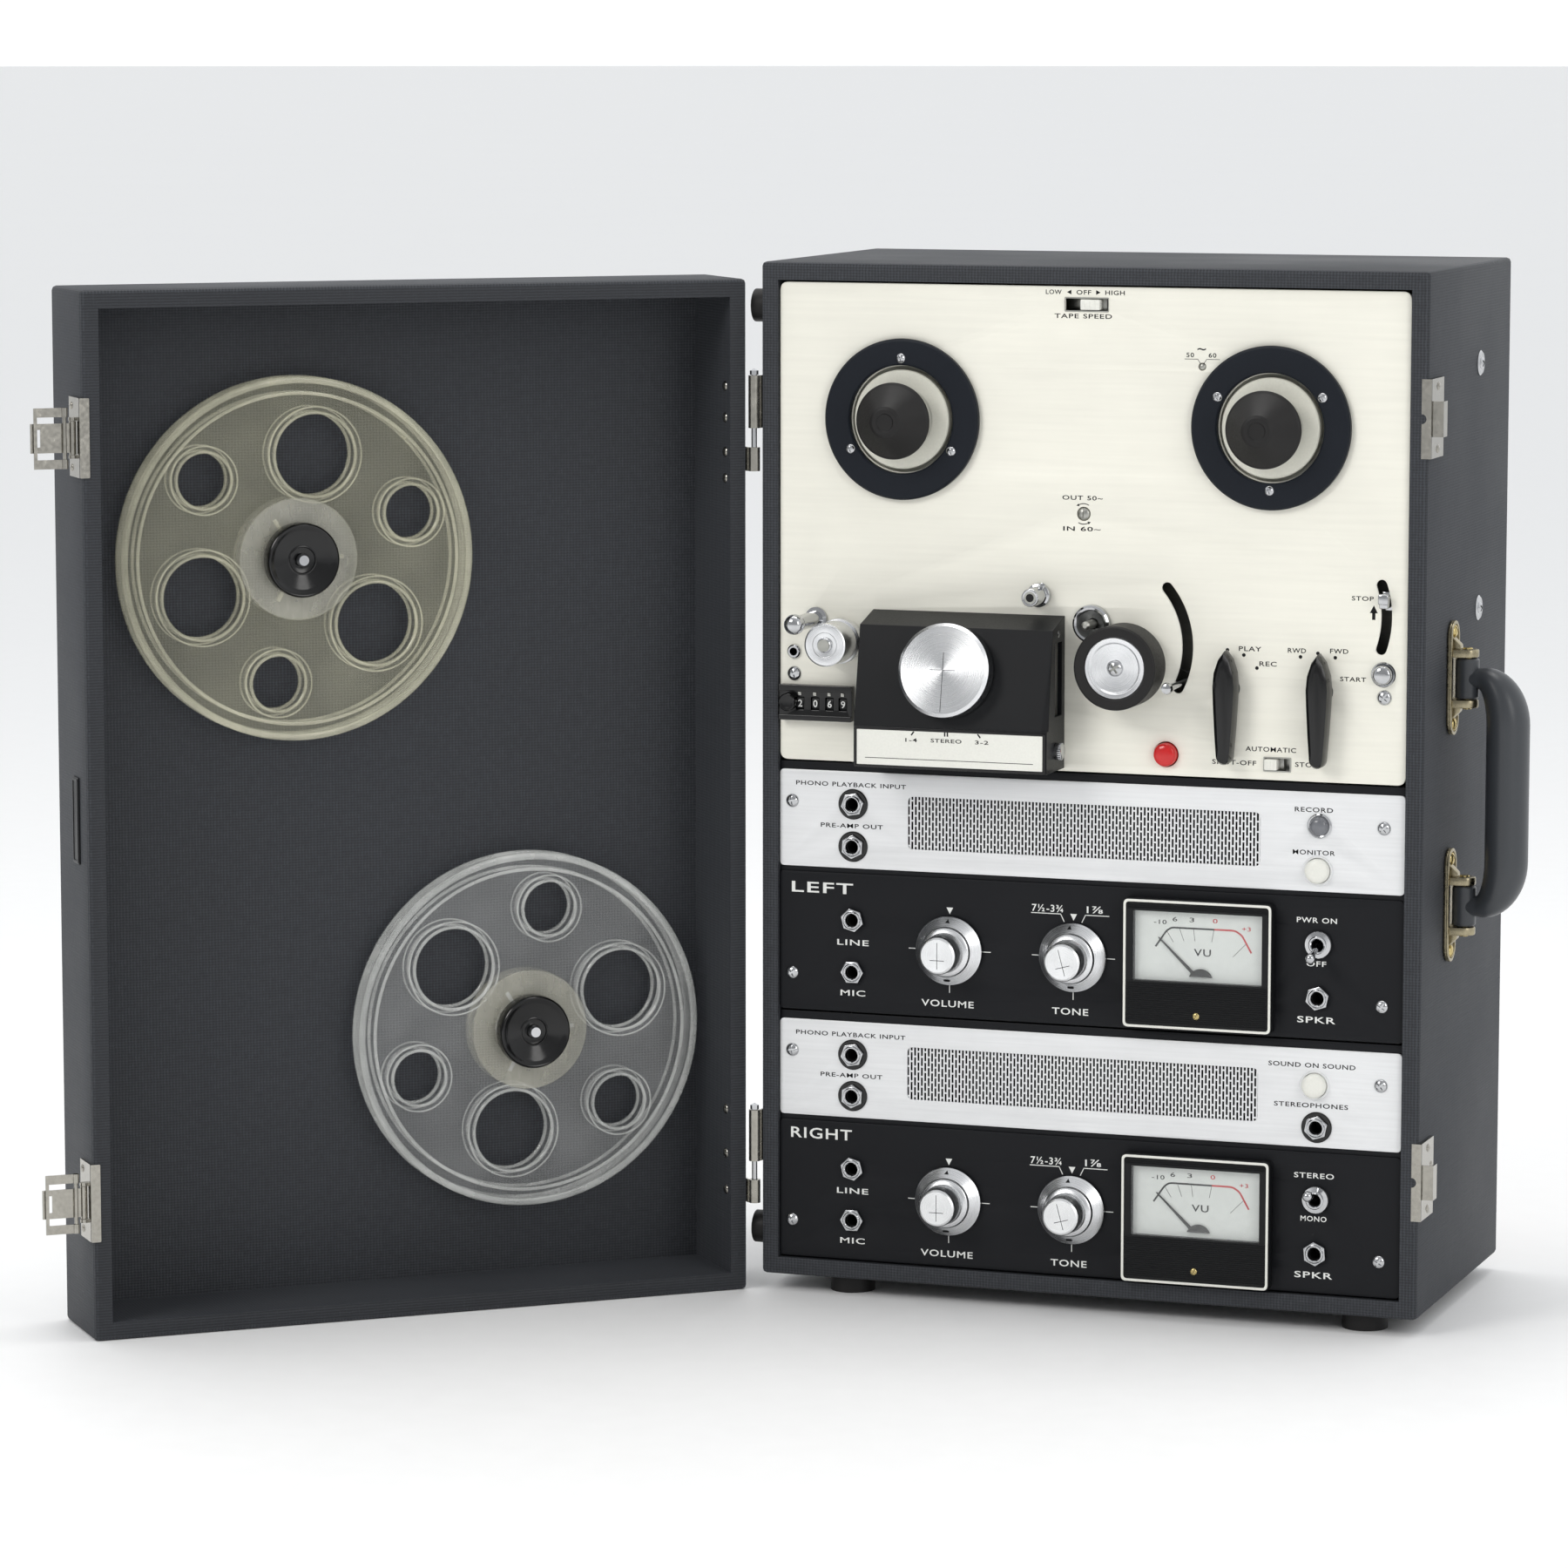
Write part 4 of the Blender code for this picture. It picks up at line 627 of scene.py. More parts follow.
def stroke(x1, y1, x2, y2, width):
    along = Vector((x2 - x1, y2 - y1)).normalized()
    side = Vector((-along.y, along.x)) * width / 2
    return [(x1 + side.x, y1 + side.y), (x1 - side.x, y1 - side.y), (x2 - side.x, y2 - side.y),
        (x2 + side.x, y2 + side.y)]


def triangle(x, y, size, turn=0.0):
    return [(x + size * math.cos(turn + a), y + size * math.sin(turn + a)) for a in (0.0, rad(125), rad(235))]


# ---- camera, light and floor --------------------------------------------------------------------
cam_data = bpy.data.cameras.new("camera")
cam = bpy.data.objects.new("camera", cam_data)
bpy.context.scene.collection.objects.link(cam)
bpy.context.scene.camera = cam
cam.location = (0.97153, -2.78162, 0.64157)
cam.rotation_euler = (QUARTER - 0.12826, -0.00003, 0.34167)
cam_data.sensor_width, cam_data.lens, cam_data.clip_start = 36.0, 139.0066, 0.1

bpy.context.scene.view_settings.view_transform = "Standard"
world = bpy.data.worlds.new("studio")
bpy.context.scene.world = world
world.use_nodes = True
nodes, links = world.node_tree.nodes, world.node_tree.links
direction = nodes.new("ShaderNodeTexCoord").outputs["Generated"]
split = nodes.new("ShaderNodeSeparateXYZ")
links.new(direction, split.inputs[0])
ramp = nodes.new("ShaderNodeMapRange")
links.new(split.outputs["Y"], ramp.inputs["Value"])
for key, value in (("From Min", -0.9), ("From Max", 0.5), ("To Min", 0.46), ("To Max", 1.12)):
    ramp.inputs[key].default_value = value
links.new(ramp.outputs["Result"], nodes["Background"].inputs["Strength"])
nodes["Background"].inputs["Color"].default_value = (0.97, 0.985, 1.0, 1.0)


def lamp(name, at, aim, size, power):
    data = bpy.data.lights.new(name, "AREA")
    data.shape, data.size, data.size_y, data.energy = "RECTANGLE", size[0], size[1], power
    data.color = (1.0, 0.985, 0.965)
    obj = bpy.data.objects.new(name, data)
    bpy.context.scene.collection.objects.link(obj)
    obj.location = at
    obj.rotation_euler = (Vector(aim) - Vector(at)).to_track_quat("-Z", "Y").to_euler()


lamp("key", (-1.3, -2.3, 2.0), (0.0, 0.0, 0.25), (1.1, 1.1), 27.0)
lamp("fill", (2.3, -1.6, 1.3), (0.1, 0.0, 0.25), (0.8, 1.4), 11.0)
lamp("top", (0.0, 0.2, 2.4), (0.0, 0.0, 0.2), (1.6, 1.0), 17.0)

bm = bmesh.new()
bmesh.ops.create_circle(bm, cap_ends=True, segments=96, radius=60.0)
floor_mesh = mesh_of(bm, 60.0)
floor = bpy.data.objects.new("floor", floor_mesh)
bpy.context.scene.collection.objects.link(floor)
floor_mesh.materials.append(grained("pale_floor", (0.9, 0.9, 0.9, 1.0), 0.6, 0.0, 60.0, 0.01, 0.05, 0.0, 2.0))
floor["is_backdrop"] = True

# ---- cabinet ------------------------------------------------------------------------------------
dress("cabinet_shell", [VINYL, RUBBER], 0.0, lambda c: int(c.z < FOOT_H - 0.0002 or c.x < AT_X - 0.0003))
dress("back_panel", [BOARD, GLOSS], 0.0004, lambda c: int(c.y > AT_Y + BACK_FACE))
for node in ("transport_chassis", "amplifier_chassis", "capstan_flywheel", "pinch_arm"):
    dress(node, STEEL)
dress("drive_motor", MOTOR_CAN, 0.0008)
dress("motor_pulley", SPUN, 0.0002)
dress("head_block", STEEL, 0.0004)
dress("tension_arm", CHROME)

# deck plate, with every opening the CAD cuts
deck_holes = [circle(x, REEL_Z, TABLE_R + 0.0017, 64) for x in REEL_X]
deck_holes += [circle(*CAPSTAN, 0.0075), circle(LEVERS["play_lever"], LEVER_Z, 0.0052),
    circle(LEVERS["transport_lever"], LEVER_Z, 0.0052), circle(*RECORD, 0.0062), circle(*START, 0.0052),
    circle(*GUIDE_POST, 0.0046), circle(*TEST_SOCKET, 0.0026, 24), circle(*SPEED_TRIM, 0.0034, 32),
    circle(*CYCLE_TRIM, 0.0019, 20), circle(*BALL_POST, 0.0042, 24), oblong(0.156, 0.4854, 0.1774, 0.4916,
    0.0004), oblong(0.2576, 0.2652, 0.2706, 0.2716, 0.0004), oblong(0.07, 0.292, 0.145, 0.326, 0.001),
    band(*TENSION_PIVOT, TENSION_R, 0.0027, TENSION_LOW - 0.05, TENSION_TOP),
    band(*STOP_PIVOT, STOP_R, 0.0026, -STOP_END, STOP_END)]
plate = slab(oblong(0.0093, 0.2607, 0.3277, 0.4973, 0.0045, 8), -PANEL_THICK, 0.0, deck_holes, 0.0004)
piece("deck_plate", plate, front(0, 0), CREAM, stands_for="deck_panel")
trims = []
for x in REEL_X:
    trims.append((lathe([(RING_IN, 0.0036), (TABLE_R + 0.003, RING_OUT), (0.0384, RING_OUT), (0.0395, 0.003),
        (0.0395, 0.0), (RING_IN, 0.0), (RING_IN, 0.0036)], 128, soft=0.0006), front(x, REEL_Z), 0))
piece("reel_rings", trims, HERE, RING_BLACK)
for side, x in zip(("left", "right"), REEL_X):
    body = f"reel_table_{side}"
    disc = lathe([(0.0, 0.0024), (0.015, 0.0024), (0.016, 0.003), (0.0236, 0.003), (TABLE_R, 0.0023),
        (TABLE_R, -0.003), (0.012, -0.004), (0.012, -0.007), (0.033, -0.007), (0.033, -0.015),
        (0.0042, -0.015), (0.0042, -0.036), (0, -0.036)], 96, soft=0.0004)
    stem = lathe([(0, REEL_SEAT), (0.004, REEL_SEAT), (0.004, 0.006), (0.0062, 0.004), (0.0062, 0.002),
        (0, 0.002)], 48)
    fins = [(block((0.003, -0.0006, 0.004), (0.0054, 0.0006, REEL_SEAT - 0.001), 0.0002), rot(rad(120 * k)),
        1) for k in range(3)]
    cone = lathe([(0, 0.0284), (0.004, 0.0284), (0.0044, 0.029), (0.0064, 0.029), (0.0078, 0.0282),
        (0.0176, 0.0176), (0.0184, 0.017), (CONE_R, 0.0163), (CONE_R, REEL_SEAT + 0.0004),
        (0.0182, REEL_SEAT), (0.014, REEL_SEAT), (0.013, 0.017), (0.006, 0.017), (0.0042, REEL_SEAT),
        (0, REEL_SEAT)], 96, soft=0.0005)
    mesh = merge([disc, (stem, HERE, 1), (cone, HERE, 2), *fins])
    piece(body + "_turned", mesh, front(x, REEL_Z), [TABLE, CHROME, RUBBER], body, body)

# screws on the deck plate and its rings
places = [(front(x + 0.03 * math.cos(rad(a)), REEL_Z + 0.03 * math.sin(rad(a)), RING_OUT, rad(a * 3 + 20)),
    0.0025) for x, angles in zip(REEL_X, ((90, 210, 330), (151, 30.5, 270))) for a in angles]
places += [(front(0.0168, 0.3036, 0.0, 0.4), 0.0037), (front(0.3167, 0.3029, 0.0, 0.9), 0.0037)]
for low, high in AMPS.values():
    places += [(front(0.0158, low + 0.0186, 0.0, 0.5), 0.0034), (front(0.3174, low + 0.0178, 0.0, 1.0),
        0.0034)]
    places += [(front(0.0158, high - 0.0158, 0.0, 0.2), 0.0034), (front(0.3174, high - 0.0162, 0.0, 0.7),
        0.0034)]
studs("panel_screws", PHILLIPS, places, CHROME)
adjusters = [(SLOTTED, front(*SPEED_TRIM, -0.001, rad(86)) @ sized(0.0032), 0),
    (SLOTTED, front(*CYCLE_TRIM, -0.001, rad(40)) @ sized(0.0017), 0)]
piece("adjusters", adjusters, HERE, STEEL)
socket = lathe(mm("1.7,1 1.7,-6 2.1,-6 2.1,0.4 3.4,0.4 3.4,1 2.8,1.6 2,1.6 1.7,1"), 48)
piece("test_socket", socket, front(*TEST_SOCKET), CHROME)

# labels on the deck
DECK_WORDS = words("LOW 150 494.4 2.1 8, OFF 165.2 494.4 2.1 7.4, HIGH 180.9 494.4 2.1 9.8, "
    "TAPE_SPEED 165 482.9 2.1 29, 50 218.8 465.2 2.1, 60 229.9 465.2 2.1, ~ 224.5 468.5 4.2, "
    "OUT_50~ 165.2 394.8 2.1 20.5, IN_60~ 165 379.7 2.1 19, PLAY 250 324.1 2.2 11.2, "
    "REC 259 317.1 2.2 8.6, RWD 273.3 324.1 2.2 9, FWD 294.2 324.5 2.2 9, "
    "STOP 305.5 350.3 2.1 10.8, START 301.2 311.2 2.1 12.8, AUTOMATIC 260.8 275.6 2.2 25.2, "
    "SHUT-OFF 242.6 268.6 2.2 22, STOP 278.5 268.9 2.2 11")
dots = [circle(x, z, 0.0009, 20) for x, z in ((0.2387, 0.3232), (0.2469, 0.321), (0.2535, 0.3149),
    (0.2751, 0.3211), (0.2837, 0.3231), (0.2923, 0.3213))]
marks = [triangle(0.1581, 0.4944, 0.0014, math.pi), triangle(0.1722, 0.4944, 0.0014),
    triangle(0.311, 0.3448, 0.0024, QUARTER), stroke(0.311, 0.344, 0.311, 0.3402, 0.0016),
    stroke(0.216, 0.4632, 0.2226, 0.4632, 0.00025), stroke(0.2226, 0.4632, 0.224, 0.461, 0.00025),
    stroke(0.227, 0.4632, 0.2336, 0.4632, 0.00025), stroke(0.227, 0.4632, 0.2256, 0.461, 0.00025)]
marks += [band(*SPEED_TRIM, 0.005, 0.0002, rad(60), rad(120), 8), band(*SPEED_TRIM, 0.005, 0.0002, rad(240),
    rad(300), 8), triangle(0.163, 0.3912, 0.0009, rad(200)), triangle(0.1686, 0.3828, 0.0009, rad(20))]
labels("deck_labels", DECK_WORDS + dots + marks, INK)

# tape posts and capstan cup
post = lathe(mm("2.2,13 2.2,16.8 3.8,17.2 4.4,16.6 4.4,4 5.8,3.6 5.8,0.2 2.2,0.2 2.2,13"), 64, soft=0.0003)
collar = lathe(mm("0,17.2 2,17.1 2,15 0,15"), 32)
finger = block((-0.0012, 0.003, 0.005), (0.0012, 0.0072, 0.0062), 0.0004)
piece("fixed_guide_post", [post, (collar, HERE, 1), (finger, rot(rad(-30)), 0)], front(*GUIDE_POST),
    [CHROME, DARK])
ball = lathe(mm("0,37.8 2.2,37.5 3.8,36.6 4.8,35 5.1,33.2 4.8,31.2 4,29.8 3.8,29 3.8,2 5.6,1.6 5.6,0.2 "
    "0,0.2"), 64)
piece("ball_post_sleeve", ball, front(*BALL_POST), CHROME)
cup = lathe(mm("2.8,-1 6.4,1.2 7.2,3 8.2,3.4 9.2,2.6 9.6,0.2 2.8,-1.4 2.8,-1"), 72)
piece("capstan_cup", cup, front(*CAPSTAN), CHROME)

# guide roller
guide = lathe(mm("3.2,27.6 6,27.6 6.4,28 9.8,28 10.6,27.4 10.6,11 9.8,10.4 9.8,8.6 11.2,8 11.2,3.4 10.6,3 "
    "3.3,3 3.2,27.6"), 96, soft=0.0003)
mesh = merge([guide, (PHILLIPS, move(0, 0, 0.0276) @ sized(0.004), 1)])
piece("guide_roller_turned", mesh, front(*GUIDE), [SPUN, CHROME], "guide_roller",
    "guide_roller")
# pinch roller
tyre = lathe(mm("15,24 15.6,24.9 19.6,25 20.5,24.1 20.5,6.2 19.7,5.3 15,5.2 15,24"), 112, soft=0.0003)
plate = lathe(mm("0,23.2 11.8,23.2 12.6,24.2 14.6,24.5 15.4,23.8 15.2,5.4 0,5.4"), 112, soft=0.0003)
mesh = merge([tyre, (plate, HERE, 1), (PHILLIPS, move(0, 0, 0.0231) @ rot(0.6) @ sized(0.0042), 2)])
piece("pinch_roller_turned", mesh, front(*ROLLER), [RUBBER, SPUN, CHROME], "pinch_roller",
    "pinch_roller")

# ---- head cover, name plate and selector --------------------------------------------------------
dress("head_cover", SATIN, 0.0007)
plate_out = COVER_FRONT + 0.0003
frame_mesh = slab(oblong(0.0583, 0.2624, 0.1562, 0.2824, 0.0008), 0.0, 0.0004,
    [oblong(0.0596, 0.2636, 0.1549, 0.2812, 0.0004)], 0.0001)
card = slab(oblong(0.0598, 0.2638, 0.1547, 0.281, 0.0003), 0.0, 0.0002)
piece("name_plate", [frame_mesh, (card, HERE, 1)], front(0, 0, plate_out), [GLOSS, WHITE])
labels("name_plate_marks", [("1-4", 0.0878, 0.2766, 0.0018, 0.006), ("STEREO", 0.1057, 0.2768, 0.0018,
    0.0158), ("3-2", 0.1239, 0.2768, 0.0018, 0.0068), stroke(0.0878, 0.279, 0.0892, 0.2808, 0.0007),
    stroke(0.105, 0.279, 0.105, 0.281, 0.0007), stroke(0.1064, 0.279, 0.1064, 0.281, 0.0007),
    stroke(0.1232, 0.279, 0.1218, 0.2808, 0.0007), stroke(0.064, 0.2672, 0.15, 0.2672, 0.0003)], INK,
    plate_out + 0.0002)
side_face = wall(DECK, COVER_RIGHT, PANEL_Y - 0.015, 0.2722)
ridges = [(block((0.0036, -0.0003, 0.0), (0.0042, 0.0003, 0.0034), 0.0001), rot(rad(k * 15)), 0)
    for k in range(24)]
knurled = lathe(mm("0,4 3,4 3.8,3.4 3.8,0 0,0"), 48)
piece("cover_thumbscrew", [knurled, *ridges], side_face, CHROME)
studs("cover_screw", SLOTTED, [(wall(DECK, COVER_RIGHT - 0.0006, PANEL_Y - 0.0105, 0.329), 0.0021)], CHROME)
seat = PANEL_Y - 0.0003 - COVER_FRONT + (SELECTOR[1] - COVER_STEP) * math.tan(COVER_TILT)
selector_at = wall(DECK, SELECTOR[0], seat, SELECTOR[1], QUARTER - COVER_TILT, "X")
face = lathe([(0, 0.0108), (SELECTOR_R - 0.0016, 0.0108), (SELECTOR_R, 0.0095), (SELECTOR_R, 0.0016),
    (SELECTOR_R - 0.0008, 0.001), (0.006, 0.001), (0.0032, 0.0006), (0.0032, -0.006), (0, -0.006)], 128,
    angle=24.0)
cross = [(block((-0.00014, -0.0205, 0.01075), (0.00014, 0.0088, 0.01084)), HERE, 1),
    (block((-0.0066, -0.00012, 0.01075), (0.0066, 0.00012, 0.01084)), HERE, 1)]
piece("selector_turned", [face, *cross], selector_at, [SPUN, INK], "selector_knob",
    "selector_knob")

# ---- counter ------------------------------------------------------------------------------------
windows = [oblong(x - 0.0021, 0.2862, x + 0.0021, 0.2926, 0.0003) for x in COUNTER_X]
case = slab(oblong(0.0103, 0.2809, 0.0485, 0.2985, 0.0008), 0.0003, 0.0046, windows, 0.0003)
rims = slab(oblong(0.0103, 0.2955, 0.0485, 0.2985, 0.0006), 0.0046, 0.0055, (), 0.0003)
foot = slab(oblong(0.0103, 0.2809, 0.0485, 0.2835, 0.0006), 0.0046, 0.0055, (), 0.0003)
parts = [case, rims, foot]
for x in COUNTER_X:
    wheel = lathe(mm("0,1.9 5.8,1.9 6,1.7 6,-1.7 5.8,-1.9 0,-1.9"), 48)
    parts.append((wheel, move(x, COUNTER_Z, -0.002) @ rot(QUARTER, "Y"), 1))
    parts.append((block((x - 0.0009, 0.2934, 0.0046), (x + 0.0009, 0.295, 0.0052), 0.0002), HERE, 2))
piece("counter_housing", parts, front(0, 0), [GLOSS, SATIN, STEEL],
    stands_for="counter_case")
labels("counter_digits", [(d, x, COUNTER_Z, 0.0034, 0.0022) for d, x in zip("2069", COUNTER_X)], WHITE_INK,
    0.00402)
reset = lathe(mm("0,8 2.4,8.2 3.8,8.6 4.4,8 4.4,4 4,3.6 0,3.6"), 64, soft=0.0003)
grips = [(block((0.004, -0.00025, 0.0042), (0.00445, 0.00025, 0.008), 0.0001), rot(rad(k * 20)), 0)
    for k in range(18)]
piece("counter_reset_knob", [reset, *grips], front(0.0156, 0.29), GLOSS, "counter_reset",
    "counter_reset")

# ---- levers, buttons and switches ---------------------------------------------------------------
def drop(grow):
    half = 0.0058
    line = arc(0.0, -0.0327, 0.0036, math.pi + 0.1, 2 * math.pi - 0.1, 10)
    line += [(half * 0.8, -0.02), (half * 0.95, -0.006), (half, 0.002), (half * 0.9, 0.0085),
        (half * 0.52, 0.015), (0.0, 0.019), (-half * 0.52, 0.015), (-half * 0.9, 0.0085), (-half, 0.002),
        (-half * 0.95, -0.006), (-half * 0.8, -0.02)]
    return [(x * grow, -0.006 + (y + 0.006) * (1 - (1 - grow) * 0.35)) for x, y in line]


# (share of the outline, height over the panel)
LEVER_SECTIONS = ((0.98, 0.0032), (1.0, 0.004), (1.0, 0.0096), (0.9, 0.0118), (0.6, 0.0129), (0.3, 0.0134))
for name, x in LEVERS.items():
    body = loft([[(px, py, out) for px, py in drop(grow)] for grow, out in LEVER_SECTIONS], 30.0)
    shaft = lathe(mm("0,3.6 4.5,3.6 4.5,-18 0,-18"), 40)
    collar = lathe(mm("4.5,1.2 5,1.2 5,-3 4.5,-3 4.5,1.2"), 40)
    piece(name + "_moulded", [body, (shaft, HERE, 1), (collar, HERE, 1)], front(x, LEVER_Z), [GLOSS, CHROME],
        name, name)


def button(name, x, z, radius, out, paint, slot, ring=None):
    cap = lathe([(0, out), (radius * 0.45, out - 0.00005), (radius * 0.8, out - 0.0005),
        (radius * 0.95, out - 0.0012), (radius, out - 0.002), (radius, -0.006), (0.002, -0.006),
        (0.002, -0.016), (0, -0.016)], 64)
    piece(name + "_cap", cap, front(x, z), paint, name, name)
    if ring:
        piece(name + "_collar", lathe([(radius + 0.0003, 0.0006), (radius + 0.001, 0.0008),
            (radius + 0.0014, 0.0003), (radius + 0.0014, 0.0), (radius + 0.0003, 0.0),
            (radius + 0.0003, 0.0006)], 64), front(x, z), ring)


button("record_button", *RECORD, 0.0057, 0.0042, RED, "red_plastic")
button("start_button", *START, 0.0047, 0.005, CHROME, "chrome", CHROME)
button("monitor_button", *MONITOR, 0.006, 0.0045, WHITE, "white_plastic", SILVER)
button("sound_button", *SOUND, 0.006, 0.0045, WHITE, "white_plastic", SILVER)


def slide(name, low, high, out, paint):
    (low_x, low_z), (high_x, high_z) = low, high
    parts = [block((low_x, low_z, -0.006), (high_x, high_z, out), 0.0005),
        (block((low_x - 0.002, low_z - 0.0012, -0.0075), (high_x + 0.002, high_z + 0.0012, -0.004), 0.0002),
        HERE, 1)]
    for k in range(1, 4):
        x = low_x + (high_x - low_x) * k / 4
        parts.append(block((x - 0.00022, low_z + 0.0006, out - 0.0003),
            (x + 0.00022, high_z - 0.0006, out + 0.0002), 0.0001))
    piece(name + "_moulded", parts, front(0, 0), [paint, STEEL], name, name)


slide("speed_switch", (0.164, 0.486), (0.1738, 0.491), 0.002, WHITE)
slide("shutoff_switch", (0.2582, 0.2658), (0.2645, 0.271), 0.0028, WHITE)
slides = [slab(oblong(0.1556, 0.485, 0.1778, 0.492, 0.0004), 0.0, 0.0003,
    [oblong(0.1559, 0.4856, 0.1775, 0.4914, 0.0002)]), slab(oblong(0.2572, 0.2648, 0.271, 0.272, 0.0004), 0.0,
    0.0003, [oblong(0.2578, 0.2654, 0.2704, 0.2714, 0.0003)]), block((0.155, 0.4846, -0.01),
    (0.1784, 0.4924, -0.0086), 0.0002), block((0.2566, 0.2644, -0.01), (0.2716, 0.2724, -0.0086), 0.0002)]
piece("switch_frames", slides, front(0, 0), STEEL)
tab_x, tab_z = STOP_PIVOT[0] + STOP_R * math.cos(STOP_REST), STOP_PIVOT[1] + STOP_R * math.sin(STOP_REST)
tab = [block((-0.0022, -0.003, -0.006), (0.0022, 0.003, 0.0046), 0.0008, 3),
    block((-0.0026, -0.001, 0.0032), (0.0026, 0.0042, 0.0058), 0.0009, 3),
    block((-0.0044, -0.0044, -0.0075), (0.0044, 0.0044, -0.004), 0.0003)]
piece("stop_tab_bent", tab, front(tab_x, tab_z), CHROME, "stop_tab", "stop_tab")

# ---- amplifier panels ---------------------------------------------------------------------------
EDGE = (0.0092, 0.3278)
# side, push button, its name, what the toggle switches (with the second word's width), other words
CHANNELS = {"upper": ("left", MONITOR, ("LEFT", 0.0316, 0.197), ("PWR ON", "OFF", 0.0098),
    words("RECORD 282.6 247.2 2.2 19, MONITOR 282.8 226.4 2.2 21")), "lower": ("right", SOUND,
    ("RIGHT", 0.0312, 0.0728), ("STEREO", "MONO", 0.013),
    words("SOUND_ON_SOUND 283 122.2 2.2 43.5, STEREOPHONES 282.8 102.5 2.2 37"))}
for place, (side, press, title, switch, others) in CHANNELS.items():
    (low, high), jacks, right = AMPS[place], JACKS[place], RIGHT_JACKS[place]
    seam = high - 0.0484
    grille = (0.0762, 0.256, high - 0.0375, high - 0.0112)
    strip_holes = [circle(JACK_X, z, 0.0046, 36) for z in jacks[:2]] + [circle(*press, 0.0064),
        oblong(grille[0], grille[2], grille[1], grille[3], 0.003, 8)]
    face_holes = [circle(JACK_X, z, 0.0044, 36) for z in jacks[2:]] + [circle(RIGHT_X, jacks[2],
        0.0058)] + [circle(x, KNOB_Z[side], 0.0036, 24) for x in KNOB_X.values()]
    for z in right:
        (strip_holes if z > seam else face_holes).append(circle(RIGHT_X, z, 0.0044, 36))
    if place == "upper":
        strip_holes.append(circle(*LAMP, 0.005, 36))
    meter_low, meter_high = METER_Z[side]
    face_holes.append(oblong(METER_X[0] + 0.01, meter_low + 0.012, METER_X[1] - 0.01, meter_high - 0.006,
        0.002))
    strip = slab(oblong(EDGE[0], seam, EDGE[1], high, 0.0024, 6), -PANEL_THICK, 0.0, strip_holes, 0.0003)
    black = slab(oblong(EDGE[0], low + 0.0002, EDGE[1], seam - 0.0026, 0.0024, 6), -PANEL_THICK, 0.0,
        face_holes, 0.0003)
    rail = block((EDGE[0], seam - 0.0032, -0.0024), (EDGE[1], seam + 0.0004, -0.001), 0.0003)
    lip = block((EDGE[0], high - 0.0004, -0.0024), (EDGE[1], high + 0.004, -0.0009), 0.0004)
    # perforated grille, pressed behind the strip
    bm = bmesh.new()
    pitch, slot_w, period = 0.00178, 0.00104, 0.005
    steps_x, steps_z = [], []
    x = grille[0] - 0.001
    while x < grille[1] + 0.001:
        steps_x += [x, x + pitch - slot_w]
        x += pitch
    z = grille[2] - 0.0012
    while z < grille[3] + 0.0012:
        steps_z += [z, z + 0.0008, z + 0.0025, z + 0.0033]
        z += period
    grid = [[bm.verts.new((px, pz, -0.0015)) for pz in steps_z] for px in steps_x]
    for i in range(len(steps_x) - 1):
        for j in range(len(steps_z) - 1):
            solid_bar = i % 2 == 0
            bridge = j % 4 == (0 if (i // 2) % 2 else 2)
            if solid_bar or bridge:
                bm.faces.new((grid[i][j], grid[i + 1][j], grid[i + 1][j + 1], grid[i][j + 1]))
    bmesh.ops.delete(bm, geom=[v for v in bm.verts if not v.link_faces], context="VERTS")
    bmesh.ops.recalc_face_normals(bm, faces=bm.faces)
    bmesh.ops.solidify(bm, geom=bm.faces[:], thickness=0.0006)
    mesh_grille = mesh_of(bm, 30.0)
    cloth = block((grille[0] - 0.002, grille[2] - 0.002, -0.0068), (grille[1] + 0.002, grille[3] + 0.002,
        -0.006), 0.0002)
    parts = [strip, (black, HERE, 1), (rail, HERE, 1), (lip, HERE, 1), (mesh_grille, HERE, 2),
        (cloth, HERE, 3)]
    piece(f"amp_plate_{place}", parts, front(0, 0), [SILVER, FACE, SILVER, DARK],
        stands_for=f"amp_panel_{place}")
    # jacks: nut, threaded bush and dark bore
    hexagon = fillet([(0.0061 * math.cos(rad(60 * k + 10)), 0.0061 * math.sin(rad(60 * k + 10)))
        for k in range(6)], 0.0006, 2, True)
    nut = slab(hexagon, 0.0002, 0.0022, [circle(0, 0, 0.0043, 36)], 0.0004)
    bush = lathe(mm("3.2,-12 3.2,2.6 3.6,3 4,3 4.4,2.6 4.4,-12 3.2,-12"), 48)
    bore = lathe(mm("0,-11.2 3.1,-11.2 3.1,0.2 3.25,0.2 3.25,-12.2 0,-12.2 0,-11.2"), 40)
    washer = lathe(mm("4.4,0.8 7.2,0.8 7.6,0.4 7.6,0 4.4,0 4.4,0.8"), 64)
    parts = []
    for number, (x, z) in enumerate([(JACK_X, z) for z in jacks] + [(RIGHT_X, z) for z in right]):
        turn = rot(rad(17 * number))
        at = move(x, z, 0.0)
        parts += [(nut, at @ turn, 0), (bush, at, 0), (bore, at, 2)]
        if z > seam:
            parts.append((washer, at, 1))
    piece(f"jacks_{place}", parts, front(0, 0), [CHROME, GLOSS, DARK])
